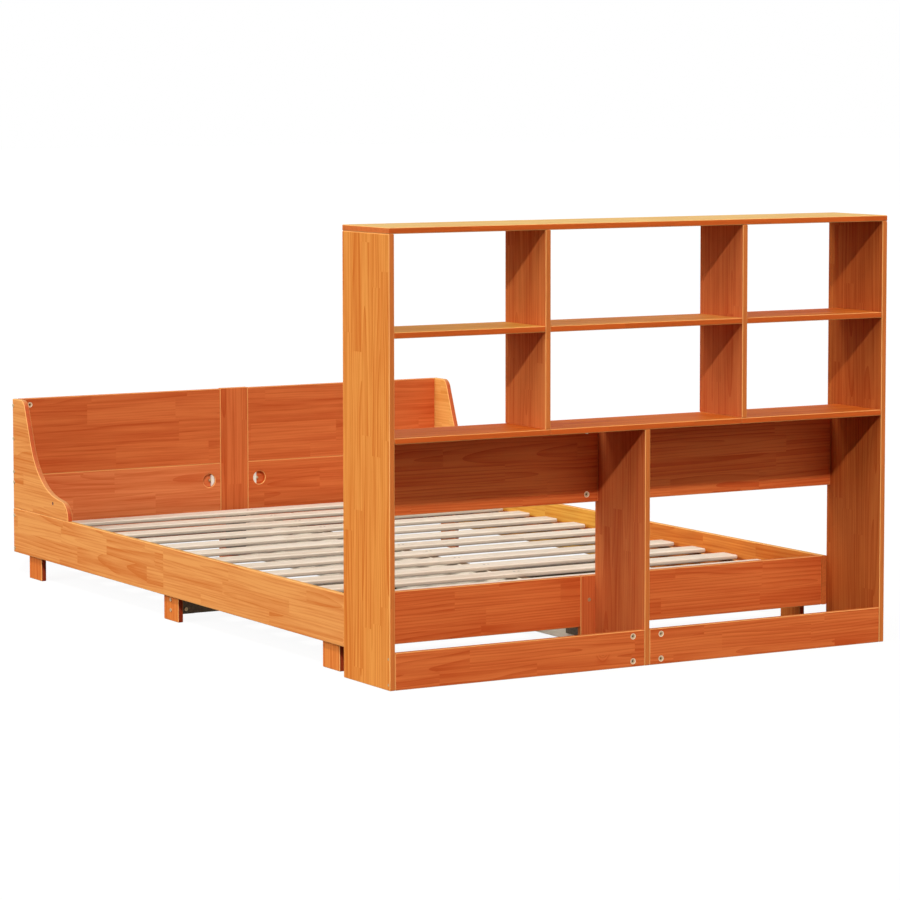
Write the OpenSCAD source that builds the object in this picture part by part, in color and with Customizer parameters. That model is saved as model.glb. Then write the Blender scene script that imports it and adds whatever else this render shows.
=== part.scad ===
// Double bed frame with a winged headboard at one end and an open bookcase at the other.
// Millimetres, +Z up. The origin is on the floor, under the middle of the whole frame.
// The bookcase stands at -Y, the headboard at +Y, and X runs across the bed.

/* [Boards] */
// Thickness of every stained board
board_t = 15; // [12:0.5:20]

/* [Bookcase] */
// Outer width of the bookcase, side panel to side panel
case_w = 1460; // [1300:1:1700]
// Depth of the side panels, the top and the centre upright
case_d = 230; // [215:1:320]
// Height of the bookcase over the top board
case_h = 1100; // [1000:1:1300]
// Gap between the back edges of the shelves and of the side panels
shelf_setback = 40; // [16:1:80]
// Height of the deck's upper face
deck_top = 602; // [520:1:660]
// Height of the small shelves' upper face
shelf_top = 853; // [780:1:920]
// Clear width of the middle bay between the dividers
middle_bay = 563; // [400:1:700]
// Height of the kick boards
kick_h = 90; // [60:1:130]
// Height of the back boards under the deck
back_h = 200; // [120:1:240]

/* [Bed] */
// Length of the bed behind the bookcase
bed_len = 2050; // [1950:1:2200]
// Height of the rails' lower edge over the floor
rail_z = 69; // [50:1:100]
// Height of the rails
rail_h = 130; // [110:1:160]
// Distance from the bookcase to the joint in each side rail
rail_joint = 1040; // [980:1:1070]
// Width of the post in the foot end
foot_post_w = 98; // [80:1:140]
// Width of the post in the headboard
head_post_w = 92; // [80:1:140]
// How far the headboard's post stands above its boards
head_post_rise = 1.5; // [0:0.5:4]
// Height of each headboard board
head_board_h = 225; // [180:1:260]

/* [Wings] */
// Length of a wing along the rail
wing_len = 387; // [320:1:450]
// Radius of the wing's nose
nose_r = 50; // [30:1:60]
// Straight edge under the nose
nose_lift = 3; // [1:0.5:10]
// Slope of the wing behind its nose, in degrees
nose_slope = 8; // [4:1:14]
// Length of the sloping run behind the nose
nose_run = 42; // [10:1:60]
// Radius of the hollow sweep
sweep_r = 221; // [180:1:250]
// Slope of the wing's upper edge, in degrees
rise_slope = 69; // [60:1:74]
// Radius of the wing's top corner
wing_corner_r = 30; // [4:1:40]

/* [Legs] */
// Width of a leg along the rail
leg_w = 88; // [60:1:110]
// Gap between a leg's top and the ledge over it
leg_top_gap = 1; // [0.5:0.5:10]
// Gap between an end leg and the end of the bed
leg_end_gap = 61; // [20:1:200]

/* [Slats and beam] */
// Width of a slat
slat_w = 65; // [50:1:80]
// Thickness of a slat
slat_t = 12; // [10:0.5:16]
// Gap between the foot rails and the first slat
slat_foot_gap = 38.5; // [5:0.5:60]
// Gap between the last slat and the headboard
slat_head_gap = 68.5; // [5:0.5:90]
// Height of the slats' upper face
slat_top = 160; // [155:1:175]
// Gap between a slat's end and the rail
slat_end_gap = 15; // [8:1:20]
// Width of the ledges that carry the slats
ledge_w = 30; // [26:1:45]
// Height of the ledges
ledge_h = 30; // [20:1:30]
// Thickness of the centre beam
beam_t = 30; // [24:1:45]
// Height of the centre beam
beam_h = 130; // [110:1:135]

/* [Steel] */
// Width of the cross bar along the bed
bar_w = 30; // [20:1:40]
// Height of the cross bar
bar_h = 45; // [30:1:50]
// Wall of the cross bar
bar_wall = 2; // [1.5:0.5:3]
// Thickness of the brackets' sheet
sheet_t = 2.5; // [2:0.5:4]
// Length of the bar bracket along the bar
bracket_len = 45; // [35:1:60]
// Length of the beam shoe's cheeks
shoe_len = 106; // [60:1:130]
// Height of the beam shoe
shoe_h = 110; // [80:1:112]
// Gap between the shoe and the slats over it
shoe_slat_gap = 3; // [1:0.5:6]
// Width of the beam shoe's flange on each side of its cheeks
flange_w = 12; // [10:1:20]

/* [Fasteners] */
// Diameter of a cam lock
cam_d = 15; // [12:0.5:16]
// Depth of a cam lock
cam_depth = 12; // [10:0.5:12.5]
// Distance from a board's end to its cam lock
cam_inset = 34; // [24:1:40]
// Diameter of a bolt's shank
bolt_d = 6; // [5:0.5:7]
// Diameter of a bolt's head
bolt_head_d = 10; // [9:0.5:12]
// Height of a bolt's head
bolt_head_h = 2; // [2:0.5:4]
// Diameter of the hex socket in a bolt's head
socket_d = 4; // [3:0.5:5]
// Room around a shank or a lock in its hole
hole_room = 0.1; // [0.05:0.05:0.3]
// Distance of a pair of cam locks from the kick board's edges
kick_cam_edge = 14; // [10:1:25]
// Distance of a pair of cam locks from the back board's edges
back_cam_edge = 20; // [12:1:40]
// Height of the lowest lock over a headboard board's lower edge
head_cam_low = 12; // [10:1:40]
// Distance of the highest lock below a headboard board's upper edge
head_cam_high = 19; // [10:1:40]
// Distance of the post's bolts from the shoe's upper edge
post_bolt_drop = 8; // [6:1:60]
// Distance between the two bolts through a middle leg
leg_bolt_pitch = 28; // [20:1:32]
// Distance of the upper leg bolt below the bar's upper edge
leg_bolt_drop = 6; // [6:0.5:10]
// Distance of the bar's bolt from the leg
bar_bolt_x = 21; // [20:1:34]
// Height of the bar's bolt over the bar's lower edge
bar_bolt_rise = 13; // [10:1:30]
// Distance between the two screws in a slat
slat_screw_gap = 13; // [10:1:16]
// Diameter of a wood screw's shank
screw_d = 4; // [3:0.5:4.5]
// Diameter of a wood screw's head
screw_head_d = 7; // [6:0.5:8]
// Depth of a wood screw's head
screw_sink = 2; // [1:0.5:3]
// Depth of the slats' screws in the beam
beam_bite = 28; // [15:1:40]
// Depth of the legs' and the ledges' screws in the rails
rail_bite = 10; // [6:1:12]
// Distance between a leg's screws along the rail
leg_screw_pitch = 50; // [36:1:56]
// Height of the leg's upper screws over its lower ones
leg_screw_rise = 20; // [12:1:24]
// Number of screws in each ledge
ledge_screws = 5; // [3:1:7]
// Distance of a ledge's end screws from its ends
ledge_screw_end = 110; // [30:1:300]
// Diameter of the barrel nut that holds a wing
nut_d = 10; // [8:0.5:12]
// Distance from the front of the wing to the barrel nut
nut_front = 105; // [60:1:150]
// Height of the barrel nut over the rail
nut_lift = 41; // [34:1:44]
// Length of the barrel nut
nut_len = 12; // [10:0.5:13]
// Depth of the barrel nut's face under the wing's face
nut_cover = 1; // [0.5:0.5:2]
// Depth of the wing's bolt in the rail
nut_bolt_depth = 40; // [20:1:60]

/* [Dowels] */
// Diameter of a dowel
dowel_d = 8; // [6:0.5:9]
// Length of a dowel in the thick of a board's end
dowel_long = 21; // [15:1:25]
// Depth of a dowel in a board's face
dowel_short = 9; // [6:0.5:10]
// Length of each half of a dowel between two board ends
dowel_half = 15; // [10:1:20]
// Distance of a shelf's dowels from its front and back edges
dowel_inset = 40; // [15:1:60]
// Distance between a divider's dowels and the shelves' dowels
dowel_step = 25; // [12:1:30]
// Distance of the dowels from the lower and upper edge of a rail
dowel_rail = 50; // [48:1:54]
// Distance of the dowels from the lower and upper edge of a headboard board
dowel_board = 30; // [20:1:36]

/* [Tie bolts] */
// Diameter of the round pocket in a lower headboard board
tie_pocket_d = 40; // [30:1:44]
// Depth of that pocket
tie_pocket_depth = 12; // [11.5:0.5:12.5]
// Distance from the post to the pocket's edge
tie_gap = 18.5; // [16:0.5:90]
// Distance of the pocket's edge below the board's upper edge
tie_drop = 31; // [24:1:80]
// Width of the half-moon washer from the pocket's edge to its flat side
washer_w = 12; // [8:0.5:15]
// Depth of the washer's face under the board's face
washer_cover = 3.5; // [2:0.5:4]
// Diameter of the tie bolt's head
tie_head_d = 8.5; // [7:0.5:8.5]
// Height of the tie bolt's head
tie_head_h = 6; // [4:0.5:8]
// Depth of the tie bolt in the post
tie_bite = 22; // [15:1:30]

/* [Hidden] */
$fn = 48;
eps = 0.01;
slat_count = 13;
total_d = case_d + bed_len;
front = -total_d / 2;
case_back = front + case_d;
head_back = total_d / 2;
head_face = head_back - board_t;
half_w = case_w / 2;
side_in = half_w - board_t;
rail_out = side_in;
rail_in = rail_out - board_t;
rail_top = rail_z + rail_h;
foot_face = case_back + board_t;
joint_y = case_back + rail_joint;
bed_mid = case_back + bed_len / 2;
divider_in = middle_bay / 2;
divider_out = divider_in + board_t;
upright_x = board_t / 2;
deck_low = deck_top - board_t;
top_low = case_h - board_t;
shelf_back = case_back - shelf_setback;
seam_z = rail_z + head_board_h;
head_top = seam_z + head_board_h;
tie_x = head_post_w / 2 + tie_gap + tie_pocket_d / 2;
tie_z = seam_z - tie_drop - tie_pocket_d / 2;
washer_d = tie_pocket_d - 2 * hole_room;
washer_face = tie_x - tie_pocket_d / 2 + washer_w;
wing_front = head_back - wing_len;
slat_low = slat_top - slat_t;
slat_half = rail_in - slat_end_gap;
first_slat = foot_face + slat_foot_gap + slat_w / 2;
last_slat = head_face - slat_head_gap - slat_w / 2;
beam_low = slat_low - beam_h;
ledge_low = slat_low - ledge_h;
leg_in = rail_in - board_t;
leg_h = ledge_low - leg_top_gap;
bar_front = bed_mid - bar_w / 2;
bar_back = bed_mid + bar_w / 2;
bar_bolt_z = beam_low + bar_bolt_rise;
shoe_top = slat_low - shoe_slat_gap;
shoe_low = shoe_top - shoe_h;
shoe_flange = beam_t / 2 + sheet_t + flange_w;
post_bolt_x = shoe_flange - flange_w / 2;
post_bolt_z = shoe_top - post_bolt_drop;
slat_screw = slat_t + beam_bite;
leg_screw = board_t + rail_bite;
ledge_screw = ledge_w + rail_bite;
bolt_hole_d = bolt_d + 2 * hole_room;
cam_hole_d = cam_d + 2 * hole_room;
dowel_hole_d = dowel_d + 2 * hole_room;
screw_hole_d = screw_d + 2 * hole_room;
cam_bolt_len = cam_inset - cam_d / 2 - hole_room;
kick_cams = [kick_cam_edge, kick_h - kick_cam_edge];
back_low = deck_low - back_h;
back_cams = [back_low + back_cam_edge, deck_low - back_cam_edge];
head_cam_span = head_board_h - head_cam_high - head_cam_low;
head_cams = [for (i = [0:2]) head_cam_low + head_cam_span * i / 2];
head_cam_y = head_back - board_t / 2;
lower_cams = [for (h = head_cams) rail_z + h];
upper_cams = [for (h = head_cams) seam_z + h];
end_rail_cams = concat(lower_cams, upper_cams);
kick_y = front + board_t / 2;
back_y = case_back - board_t / 2;
rail_mid = (rail_in + rail_out) / 2;
foot_mid = case_back + board_t / 2;
top_mid = top_low + board_t / 2;
deck_mid = deck_low + board_t / 2;
shelf_mid = shelf_top - board_t / 2;
divider_mid = (divider_in + divider_out) / 2;
shelf_dowels = [front + dowel_inset, shelf_back - dowel_inset];
divider_dowels = [front + dowel_inset + dowel_step, shelf_back - dowel_inset - dowel_step];
end_dowels = [front + dowel_inset, case_back - dowel_inset];
rail_dowels = [rail_z + dowel_rail, rail_top - dowel_rail];
board_dowels = [for (low = [rail_z, seam_z]) each [low + dowel_board, low + head_board_h - dowel_board]];
nut_z = rail_top + nut_lift;
nut_y = wing_front + nut_front;
leg_rows = [foot_face + leg_end_gap + leg_w / 2, bed_mid, head_face - leg_end_gap - leg_w / 2];
leg_screw_low = (rail_z + leg_h - leg_screw_rise) / 2;
leg_screw_rows = [leg_screw_low, leg_screw_low + leg_screw_rise];
leg_bolt_top = beam_low + bar_h - leg_bolt_drop;
leg_bolts = [leg_bolt_top - leg_bolt_pitch, leg_bolt_top];
ledge_mid_z = ledge_low + ledge_h / 2;
ledge_first = foot_face + ledge_screw_end;
ledge_last = head_face - ledge_screw_end;
ledge_step = (ledge_last - ledge_first) / (ledge_screws - 1);
ledge_rows = [for (i = [0:ledge_screws - 1]) ledge_first + ledge_step * i];
slat_rows = [for (i = [0:slat_count - 1]) first_slat + (last_slat - first_slat) * i / (slat_count - 1)];
stain = [0.86, 0.46, 0.20];
stain_dark = [0.78, 0.38, 0.16];
pine = [0.92, 0.86, 0.76];
beech = [0.80, 0.66, 0.48];
steel = [0.34, 0.29, 0.25];
zinc = [0.78, 0.74, 0.68];

// A plain block between two corners
module block(low, high) {
    translate(low) cube(high - low);
}

// A round bar along X, Y or Z from one coordinate to another
module bar_x(x0, x1, y, z, d) {
    translate([x0, y, z]) rotate([0, 90, 0]) cylinder(h = x1 - x0, d = d);
}
module bar_y(y0, y1, x, z, d) {
    translate([x, y0, z]) rotate([-90, 0, 0]) cylinder(h = y1 - y0, d = d);
}
module bar_z(z0, z1, x, y, d) {
    translate([x, y, z0]) cylinder(h = z1 - z0, d = d);
}

// What is drawn for the right side, or its mirror image on the left
module side(s) {
    if (s < 0) mirror([1, 0, 0]) children();
    else children();
}
module both_sides() {
    for (s = [-1, 1]) side(s) children();
}

// Dowels of the bookcase, drawn for the right side
module case_dowels(d) {
    for (y = shelf_dowels) {
        bar_x(side_in - dowel_long, side_in + dowel_short, y, deck_mid, d);
        bar_x(side_in - dowel_long, side_in + dowel_short, y, shelf_mid, d);
        bar_x(divider_in - dowel_half, divider_out + dowel_half, y, shelf_mid, d);
        bar_x(divider_in - dowel_half, divider_in + dowel_half, y, deck_mid, d);
    }
    for (y = divider_dowels) {
        bar_z(deck_top - dowel_short, deck_top + dowel_long, divider_mid, y, d);
        bar_z(top_low - dowel_long, top_low + dowel_short, divider_mid, y, d);
    }
    for (y = end_dowels) bar_z(top_low - dowel_long, top_low + dowel_short, side_in + board_t / 2, y, d);
    for (z = back_cams) bar_x(side_in - dowel_long, side_in + dowel_short, back_y, z, d);
}

// Dowels on the bookcase's centre line
module centre_dowels(d) {
    for (y = shelf_dowels) bar_z(deck_low - dowel_long, deck_low + dowel_short, 0, y, d);
    for (y = end_dowels) bar_x(-dowel_half, dowel_half, y, top_mid, d);
}

// Dowels of the bed, drawn for the right side
module bed_dowels(d) {
    for (z = rail_dowels) {
        bar_x(foot_post_w / 2 - dowel_half, foot_post_w / 2 + dowel_half, foot_mid, z, d);
        bar_x(rail_in - dowel_long, rail_in + dowel_short, foot_mid, z, d);
        bar_y(joint_y - dowel_half, joint_y + dowel_half, rail_mid, z, d);
    }
    for (z = board_dowels)
        bar_x(head_post_w / 2 - dowel_half, head_post_w / 2 + dowel_half, head_cam_y, z, d);
}

module dowels() {
    color(beech) {
        both_sides() case_dowels(dowel_d);
        centre_dowels(dowel_d);
        both_sides() bed_dowels(dowel_d);
    }
}

// Bolts that pull a board's end to its cam locks, drawn for the right side
module end_bolts(d, reach) {
    for (z = kick_cams) {
        bar_x(side_in - cam_inset, half_w, kick_y, z, d);
        bar_x(0, upright_x + reach, kick_y, z, d);
    }
    for (z = back_cams) bar_x(0, upright_x + reach, back_y, z, d);
}

// A round bar from a face into a board, towards +Y or -Y
module sunk(face_y, dir, x, z, open, depth, d) {
    near = face_y - dir * open;
    far = face_y + dir * depth;
    bar_y(min(near, far), max(near, far), x, z, d);
}

// Pockets for cam locks in the face of a board
module cam_pockets(face_y, dir, x, heights) {
    for (z = heights) sunk(face_y, dir, x, z, eps, cam_depth + hole_room, cam_hole_d);
}

module bookcase_side(s) {
    color(stain) side(s) difference() {
        block([side_in, front, 0], [half_w, case_back, top_low]);
        for (z = kick_cams) bar_x(side_in - eps, half_w + eps, kick_y, z, bolt_hole_d);
        case_dowels(dowel_hole_d);
    }
}
module bookcase_side_left() { bookcase_side(-1); }
module bookcase_side_right() { bookcase_side(1); }

module bookcase_top(s, tone) {
    color(tone) side(s) difference() {
        block([0, front, top_low], [half_w, case_back, case_h]);
        case_dowels(dowel_hole_d);
        centre_dowels(dowel_hole_d);
    }
}
module bookcase_top_left() { bookcase_top(-1, stain); }
module bookcase_top_right() { bookcase_top(1, stain_dark); }

module bookcase_divider(s) {
    color(stain) side(s) difference() {
        block([divider_in, front, deck_top], [divider_out, shelf_back, top_low]);
        case_dowels(dowel_hole_d);
    }
}
module bookcase_divider_left() { bookcase_divider(-1); }
module bookcase_divider_right() { bookcase_divider(1); }

module end_shelf(s) {
    color(stain_dark) side(s) difference() {
        block([divider_out, front, shelf_top - board_t], [side_in, shelf_back, shelf_top]);
        case_dowels(dowel_hole_d);
    }
}
module bookcase_shelf_left() { end_shelf(-1); }
module bookcase_shelf_right() { end_shelf(1); }
module bookcase_shelf_centre() {
    color(stain_dark) difference() {
        block([-divider_in, front, shelf_top - board_t], [divider_in, shelf_back, shelf_top]);
        both_sides() case_dowels(dowel_hole_d);
    }
}

module end_deck(s) {
    color(stain) side(s) difference() {
        block([divider_in, front, deck_low], [side_in, shelf_back, deck_top]);
        case_dowels(dowel_hole_d);
    }
}
module bookcase_deck_left() { end_deck(-1); }
module bookcase_deck_right() { end_deck(1); }
module bookcase_deck_centre() {
    color(stain) difference() {
        block([-divider_in, front, deck_low], [divider_in, shelf_back, deck_top]);
        both_sides() case_dowels(dowel_hole_d);
        centre_dowels(dowel_hole_d);
    }
}

module bookcase_upright() {
    color(stain) difference() {
        block([-upright_x, front, 0], [upright_x, case_back, deck_low]);
        centre_dowels(dowel_hole_d);
        both_sides() end_bolts(bolt_hole_d, cam_inset);
    }
}

module kick_board(s) {
    color(stain_dark) side(s) difference() {
        block([upright_x, front, 0], [side_in, front + board_t, kick_h]);
        cam_pockets(front, 1, upright_x + cam_inset, kick_cams);
        end_bolts(bolt_hole_d, cam_inset);
    }
}
module bookcase_kick_left() { kick_board(-1); }
module bookcase_kick_right() { kick_board(1); }

module back_board(s) {
    color(stain_dark) side(s) difference() {
        block([upright_x, case_back - board_t, back_low], [side_in, case_back, deck_low]);
        cam_pockets(case_back - board_t, 1, upright_x + cam_inset, back_cams);
        end_bolts(bolt_hole_d, cam_inset);
        case_dowels(dowel_hole_d);
    }
}
module bookcase_back_left() { back_board(-1); }
module bookcase_back_right() { back_board(1); }

// A bolt in each wing's foot that ends in the wing's barrel nut
module wing_bolt(shank, nut, open) {
    bar_z(rail_top - nut_bolt_depth, nut_z, rail_mid, nut_y, shank);
    bar_x(rail_out - nut_cover - nut_len, rail_out - nut_cover + open, nut_y, nut_z, nut);
}

// Screws through the legs, and through the ledges, into the side rails
module leg_screw_set(y, d, head_d) {
    for (dy = [-leg_screw_pitch / 2, leg_screw_pitch / 2])
        for (z = leg_screw_rows) {
            bar_x(leg_in, leg_in + leg_screw, y + dy, z, d);
            bar_x(leg_in - (head_d > screw_head_d ? eps : 0), leg_in + screw_sink, y + dy, z, head_d);
        }
}
module ledge_screw_set(d, head_d) {
    ledge_in = rail_in - ledge_w;
    for (y = ledge_rows) {
        bar_x(ledge_in, ledge_in + ledge_screw, y, ledge_mid_z, d);
        bar_x(ledge_in - (head_d > screw_head_d ? eps : 0), ledge_in + screw_sink, y, ledge_mid_z, head_d);
    }
}
module rail_screw_holes() {
    for (y = leg_rows) leg_screw_set(y, screw_hole_d, screw_head_d + 2 * hole_room);
    ledge_screw_set(screw_hole_d, screw_head_d + 2 * hole_room);
}

module side_rail(s, y0, y1) {
    color(stain) side(s) difference() {
        block([rail_in, y0, rail_z], [rail_out, y1, rail_top]);
        bed_dowels(dowel_hole_d);
        rail_screw_holes();
        if (y1 == head_back) {
            wing_bolt(bolt_hole_d, nut_d + 2 * hole_room, nut_cover + eps);
            for (z = end_rail_cams) bar_x(rail_in - eps, rail_out + eps, head_cam_y, z, bolt_hole_d);
        }
    }
}
module side_rail_left_foot() { side_rail(-1, case_back, joint_y); }
module side_rail_left_head() { side_rail(-1, joint_y, head_back); }
module side_rail_right_foot() { side_rail(1, case_back, joint_y); }
module side_rail_right_head() { side_rail(1, joint_y, head_back); }

module foot_rail(s) {
    color(stain_dark) side(s) difference() {
        block([foot_post_w / 2, case_back, rail_z], [rail_in, foot_face, rail_top]);
        bed_dowels(dowel_hole_d);
    }
}
module foot_rail_left() { foot_rail(-1); }
module foot_rail_right() { foot_rail(1); }

// Bolts through the posts, with their heads sunk in the outer face
module post_bolt(face_y, dir, d, head_d, open) {
    for (s = [-1, 1])
        translate([s * post_bolt_x, face_y, post_bolt_z]) rotate([dir > 0 ? -90 : 90, 0, 0]) {
            bar_z(0, board_t + sheet_t + open, 0, 0, d);
            bar_z(-open, bolt_head_h, 0, 0, head_d);
        }
}
module post_bolt_holes() {
    post_bolt(case_back, 1, bolt_hole_d, bolt_head_d + 2 * hole_room, eps);
    post_bolt(head_back, -1, bolt_hole_d, bolt_head_d + 2 * hole_room, eps);
}
module foot_post() {
    color(stain) difference() {
        block([-foot_post_w / 2, case_back, 0], [foot_post_w / 2, foot_face, rail_top]);
        both_sides() bed_dowels(dowel_hole_d);
        post_bolt_holes();
    }
}
module head_post() {
    color(stain) difference() {
        block([-head_post_w / 2, head_face, 0], [head_post_w / 2, head_back, head_top + head_post_rise]);
        both_sides() {
            bed_dowels(dowel_hole_d);
            tie_shank(tie_x, bolt_hole_d);
        }
        post_bolt_holes();
    }
}

// The tie bolt's shank, from the post to the washer's flat side or beyond
module tie_shank(reach, d) {
    bar_x(head_post_w / 2 - tie_bite, reach, head_cam_y, tie_z, d);
}

// A headboard board whose locks are in the face from which dir points inwards
module head_board(s, low, face_y, dir) {
    color(stain_dark) side(s) difference() {
        block([head_post_w / 2, head_face, low], [rail_in, head_back, low + head_board_h]);
        cam_pockets(face_y, dir, rail_in - cam_inset, end_rail_cams);
        for (z = end_rail_cams) bar_x(rail_in - cam_inset, rail_in + eps, head_cam_y, z, bolt_hole_d);
        bed_dowels(dowel_hole_d);
        sunk(head_face, 1, tie_x, tie_z, eps, tie_pocket_depth, tie_pocket_d);
        tie_shank(tie_x, bolt_hole_d);
    }
}
module headboard_lower_left() { head_board(-1, rail_z, head_face, 1); }
module headboard_lower_right() { head_board(1, rail_z, head_face, 1); }
module headboard_upper_left() { head_board(-1, seam_z, head_face, 1); }
module headboard_upper_right() { head_board(1, seam_z, head_back, -1); }

// Points on an arc about a centre, from one angle to another
function arc(c, r, a0, a1, n) =
    [for (i = [0:n]) let (a = a0 + (a1 - a0) * i / n) c + r * [cos(a), sin(a)]];

// The wing's side outline in Y and Z, from its nose to its top corner
nose_c = [wing_front + nose_r, rail_top + nose_lift];
nose_end = nose_c + nose_r * [-sin(nose_slope), cos(nose_slope)];
run_end = nose_end + nose_run * [cos(nose_slope), sin(nose_slope)];
sweep_c = run_end + sweep_r * [-sin(nose_slope), cos(nose_slope)];
sweep_end = sweep_c + sweep_r * [sin(rise_slope), -cos(rise_slope)];
rise_y = sweep_end[0] + (head_top - sweep_end[1]) / tan(rise_slope);
corner_c = [rise_y + wing_corner_r * tan(rise_slope / 2), head_top - wing_corner_r];

module wing(s) {
    outline = concat(
        [[head_back, rail_top], [wing_front, rail_top]],
        arc(nose_c, nose_r, 180, 90 + nose_slope, 14),
        arc(sweep_c, sweep_r, nose_slope - 90, rise_slope - 90, 28),
        arc(corner_c, wing_corner_r, 90 + rise_slope, 90, 8),
        [[head_back, head_top]]
    );
    color(stain) side(s) difference() {
        translate([rail_in, 0, 0]) rotate([90, 0, 90]) linear_extrude(height = board_t) polygon(outline);
        for (z = end_rail_cams) bar_x(rail_in - eps, rail_out + eps, head_cam_y, z, bolt_hole_d);
        wing_bolt(bolt_hole_d, nut_d + 2 * hole_room, nut_cover + eps);
    }
}
module wing_left() { wing(-1); }
module wing_right() { wing(1); }

module leg(s, row) {
    y = leg_rows[row];
    color(stain_dark) side(s) difference() {
        block([leg_in, y - leg_w / 2, 0], [rail_in, y + leg_w / 2, leg_h]);
        leg_screw_set(y, screw_hole_d, screw_head_d + 2 * hole_room);
        if (row == 1) for (z = leg_bolts) bar_x(leg_in - eps, rail_in + eps, bed_mid, z, bolt_hole_d);
    }
}
module leg_left_foot() { leg(-1, 0); }
module leg_left_middle() { leg(-1, 1); }
module leg_left_head() { leg(-1, 2); }
module leg_right_foot() { leg(1, 0); }
module leg_right_middle() { leg(1, 1); }
module leg_right_head() { leg(1, 2); }

module ledge(s) {
    color(stain_dark) side(s) difference() {
        block([rail_in - ledge_w, foot_face, ledge_low], [rail_in, head_face, slat_low]);
        ledge_screw_set(screw_hole_d, screw_head_d + 2 * hole_room);
    }
}
module ledge_left() { ledge(-1); }
module ledge_right() { ledge(1); }

// Two screws through each slat, with room round them where they are holes
module slat_screw_set(y, d, head_d, open) {
    for (s = [-1, 1]) {
        bar_z(slat_top - slat_screw - open, slat_top, s * slat_screw_gap / 2, y, d);
        bar_z(slat_top - screw_sink, slat_top + open, s * slat_screw_gap / 2, y, head_d);
    }
}

// One half of the centre beam, notched over the cross bar
module beam_half(y0, y1) {
    color(pine) difference() {
        block([-beam_t / 2, y0, beam_low], [beam_t / 2, y1, slat_low]);
        block([-beam_t, bar_front, beam_low - 1], [beam_t, bar_back, beam_low + bar_h]);
        for (y = slat_rows) slat_screw_set(y, screw_hole_d, screw_hole_d, hole_room);
    }
}
module beam_foot() { beam_half(foot_face + sheet_t, bed_mid); }
module beam_head() { beam_half(bed_mid, head_face - sheet_t); }

module cross_bar() {
    reach = leg_in - sheet_t;
    color(steel) difference() {
        block([-reach, bar_front, beam_low], [reach, bar_back, beam_low + bar_h]);
        block([-reach - 1, bar_front + bar_wall, beam_low + bar_wall],
              [reach + 1, bar_back - bar_wall, beam_low + bar_h - bar_wall]);
        both_sides()
            sunk(bar_front, 1, leg_in - bar_bolt_x, bar_bolt_z, eps, bar_wall + eps, bolt_hole_d);
    }
}

// A sheet steel shoe on a post: a flange and two cheeks that hold the beam's end
module beam_shoe(y, dir) {
    inner = y + dir * sheet_t;
    tip = y + dir * shoe_len;
    difference() {
        union() {
            block([-shoe_flange, min(y, inner), shoe_low], [shoe_flange, max(y, inner), shoe_top]);
            both_sides()
                block([beam_t / 2, min(y, tip), shoe_low], [beam_t / 2 + sheet_t, max(y, tip), shoe_top]);
        }
        post_bolt_holes();
    }
}

// An angle at each end of the cross bar, one flange on the leg and one on the bar
module bar_bracket() {
    difference() {
        union() {
            block([leg_in - sheet_t, bar_front - sheet_t, beam_low], [leg_in, bar_back, beam_low + bar_h]);
            block([leg_in - bracket_len, bar_front - sheet_t, beam_low],
                  [leg_in, bar_front, beam_low + bar_h]);
        }
        for (z = leg_bolts) bar_x(leg_in - sheet_t - eps, leg_in + eps, bed_mid, z, bolt_hole_d);
        bar_y(bar_front - sheet_t - eps, bar_front + eps, leg_in - bar_bolt_x, bar_bolt_z, bolt_hole_d);
    }
}
module steel_brackets() {
    color(steel) {
        beam_shoe(foot_face, 1);
        beam_shoe(head_face, -1);
        both_sides() bar_bracket();
    }
}

module slat(n) {
    y = slat_rows[n];
    color(pine) difference() {
        block([-slat_half, y - slat_w / 2, slat_low], [slat_half, y + slat_w / 2, slat_top]);
        slat_screw_set(y, screw_hole_d, screw_head_d + 2 * hole_room, eps);
    }
}
module slat_01() { slat(0); }
module slat_02() { slat(1); }
module slat_03() { slat(2); }
module slat_04() { slat(3); }
module slat_05() { slat(4); }
module slat_06() { slat(5); }
module slat_07() { slat(6); }
module slat_08() { slat(7); }
module slat_09() { slat(8); }
module slat_10() { slat(9); }
module slat_11() { slat(10); }
module slat_12() { slat(11); }
module slat_13() { slat(12); }

// A cam lock's round body, with a socket in its face
module cam_lock(face_y, dir, x, z) {
    difference() {
        sunk(face_y, dir, x, z, 0, cam_depth, cam_d);
        sunk(face_y, dir, x, z, eps, cam_depth / 3, socket_d);
    }
}
module cam_locks() {
    color(zinc) {
        both_sides() {
            for (z = kick_cams) cam_lock(front, 1, upright_x + cam_inset, z);
            for (z = back_cams) cam_lock(case_back - board_t, 1, upright_x + cam_inset, z);
            for (z = lower_cams) cam_lock(head_face, 1, rail_in - cam_inset, z);
        }
        for (z = upper_cams) {
            side(-1) cam_lock(head_face, 1, rail_in - cam_inset, z);
            cam_lock(head_back, -1, rail_in - cam_inset, z);
        }
    }
}

// A bolt along +Z with its flat round head below the origin
module bolt(len) {
    difference() {
        union() {
            bar_z(0, len, 0, 0, bolt_d);
            bar_z(-bolt_head_h, 0, 0, 0, bolt_head_d);
        }
        bar_z(-bolt_head_h - eps, -bolt_head_h / 2, 0, 0, socket_d);
    }
}
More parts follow.
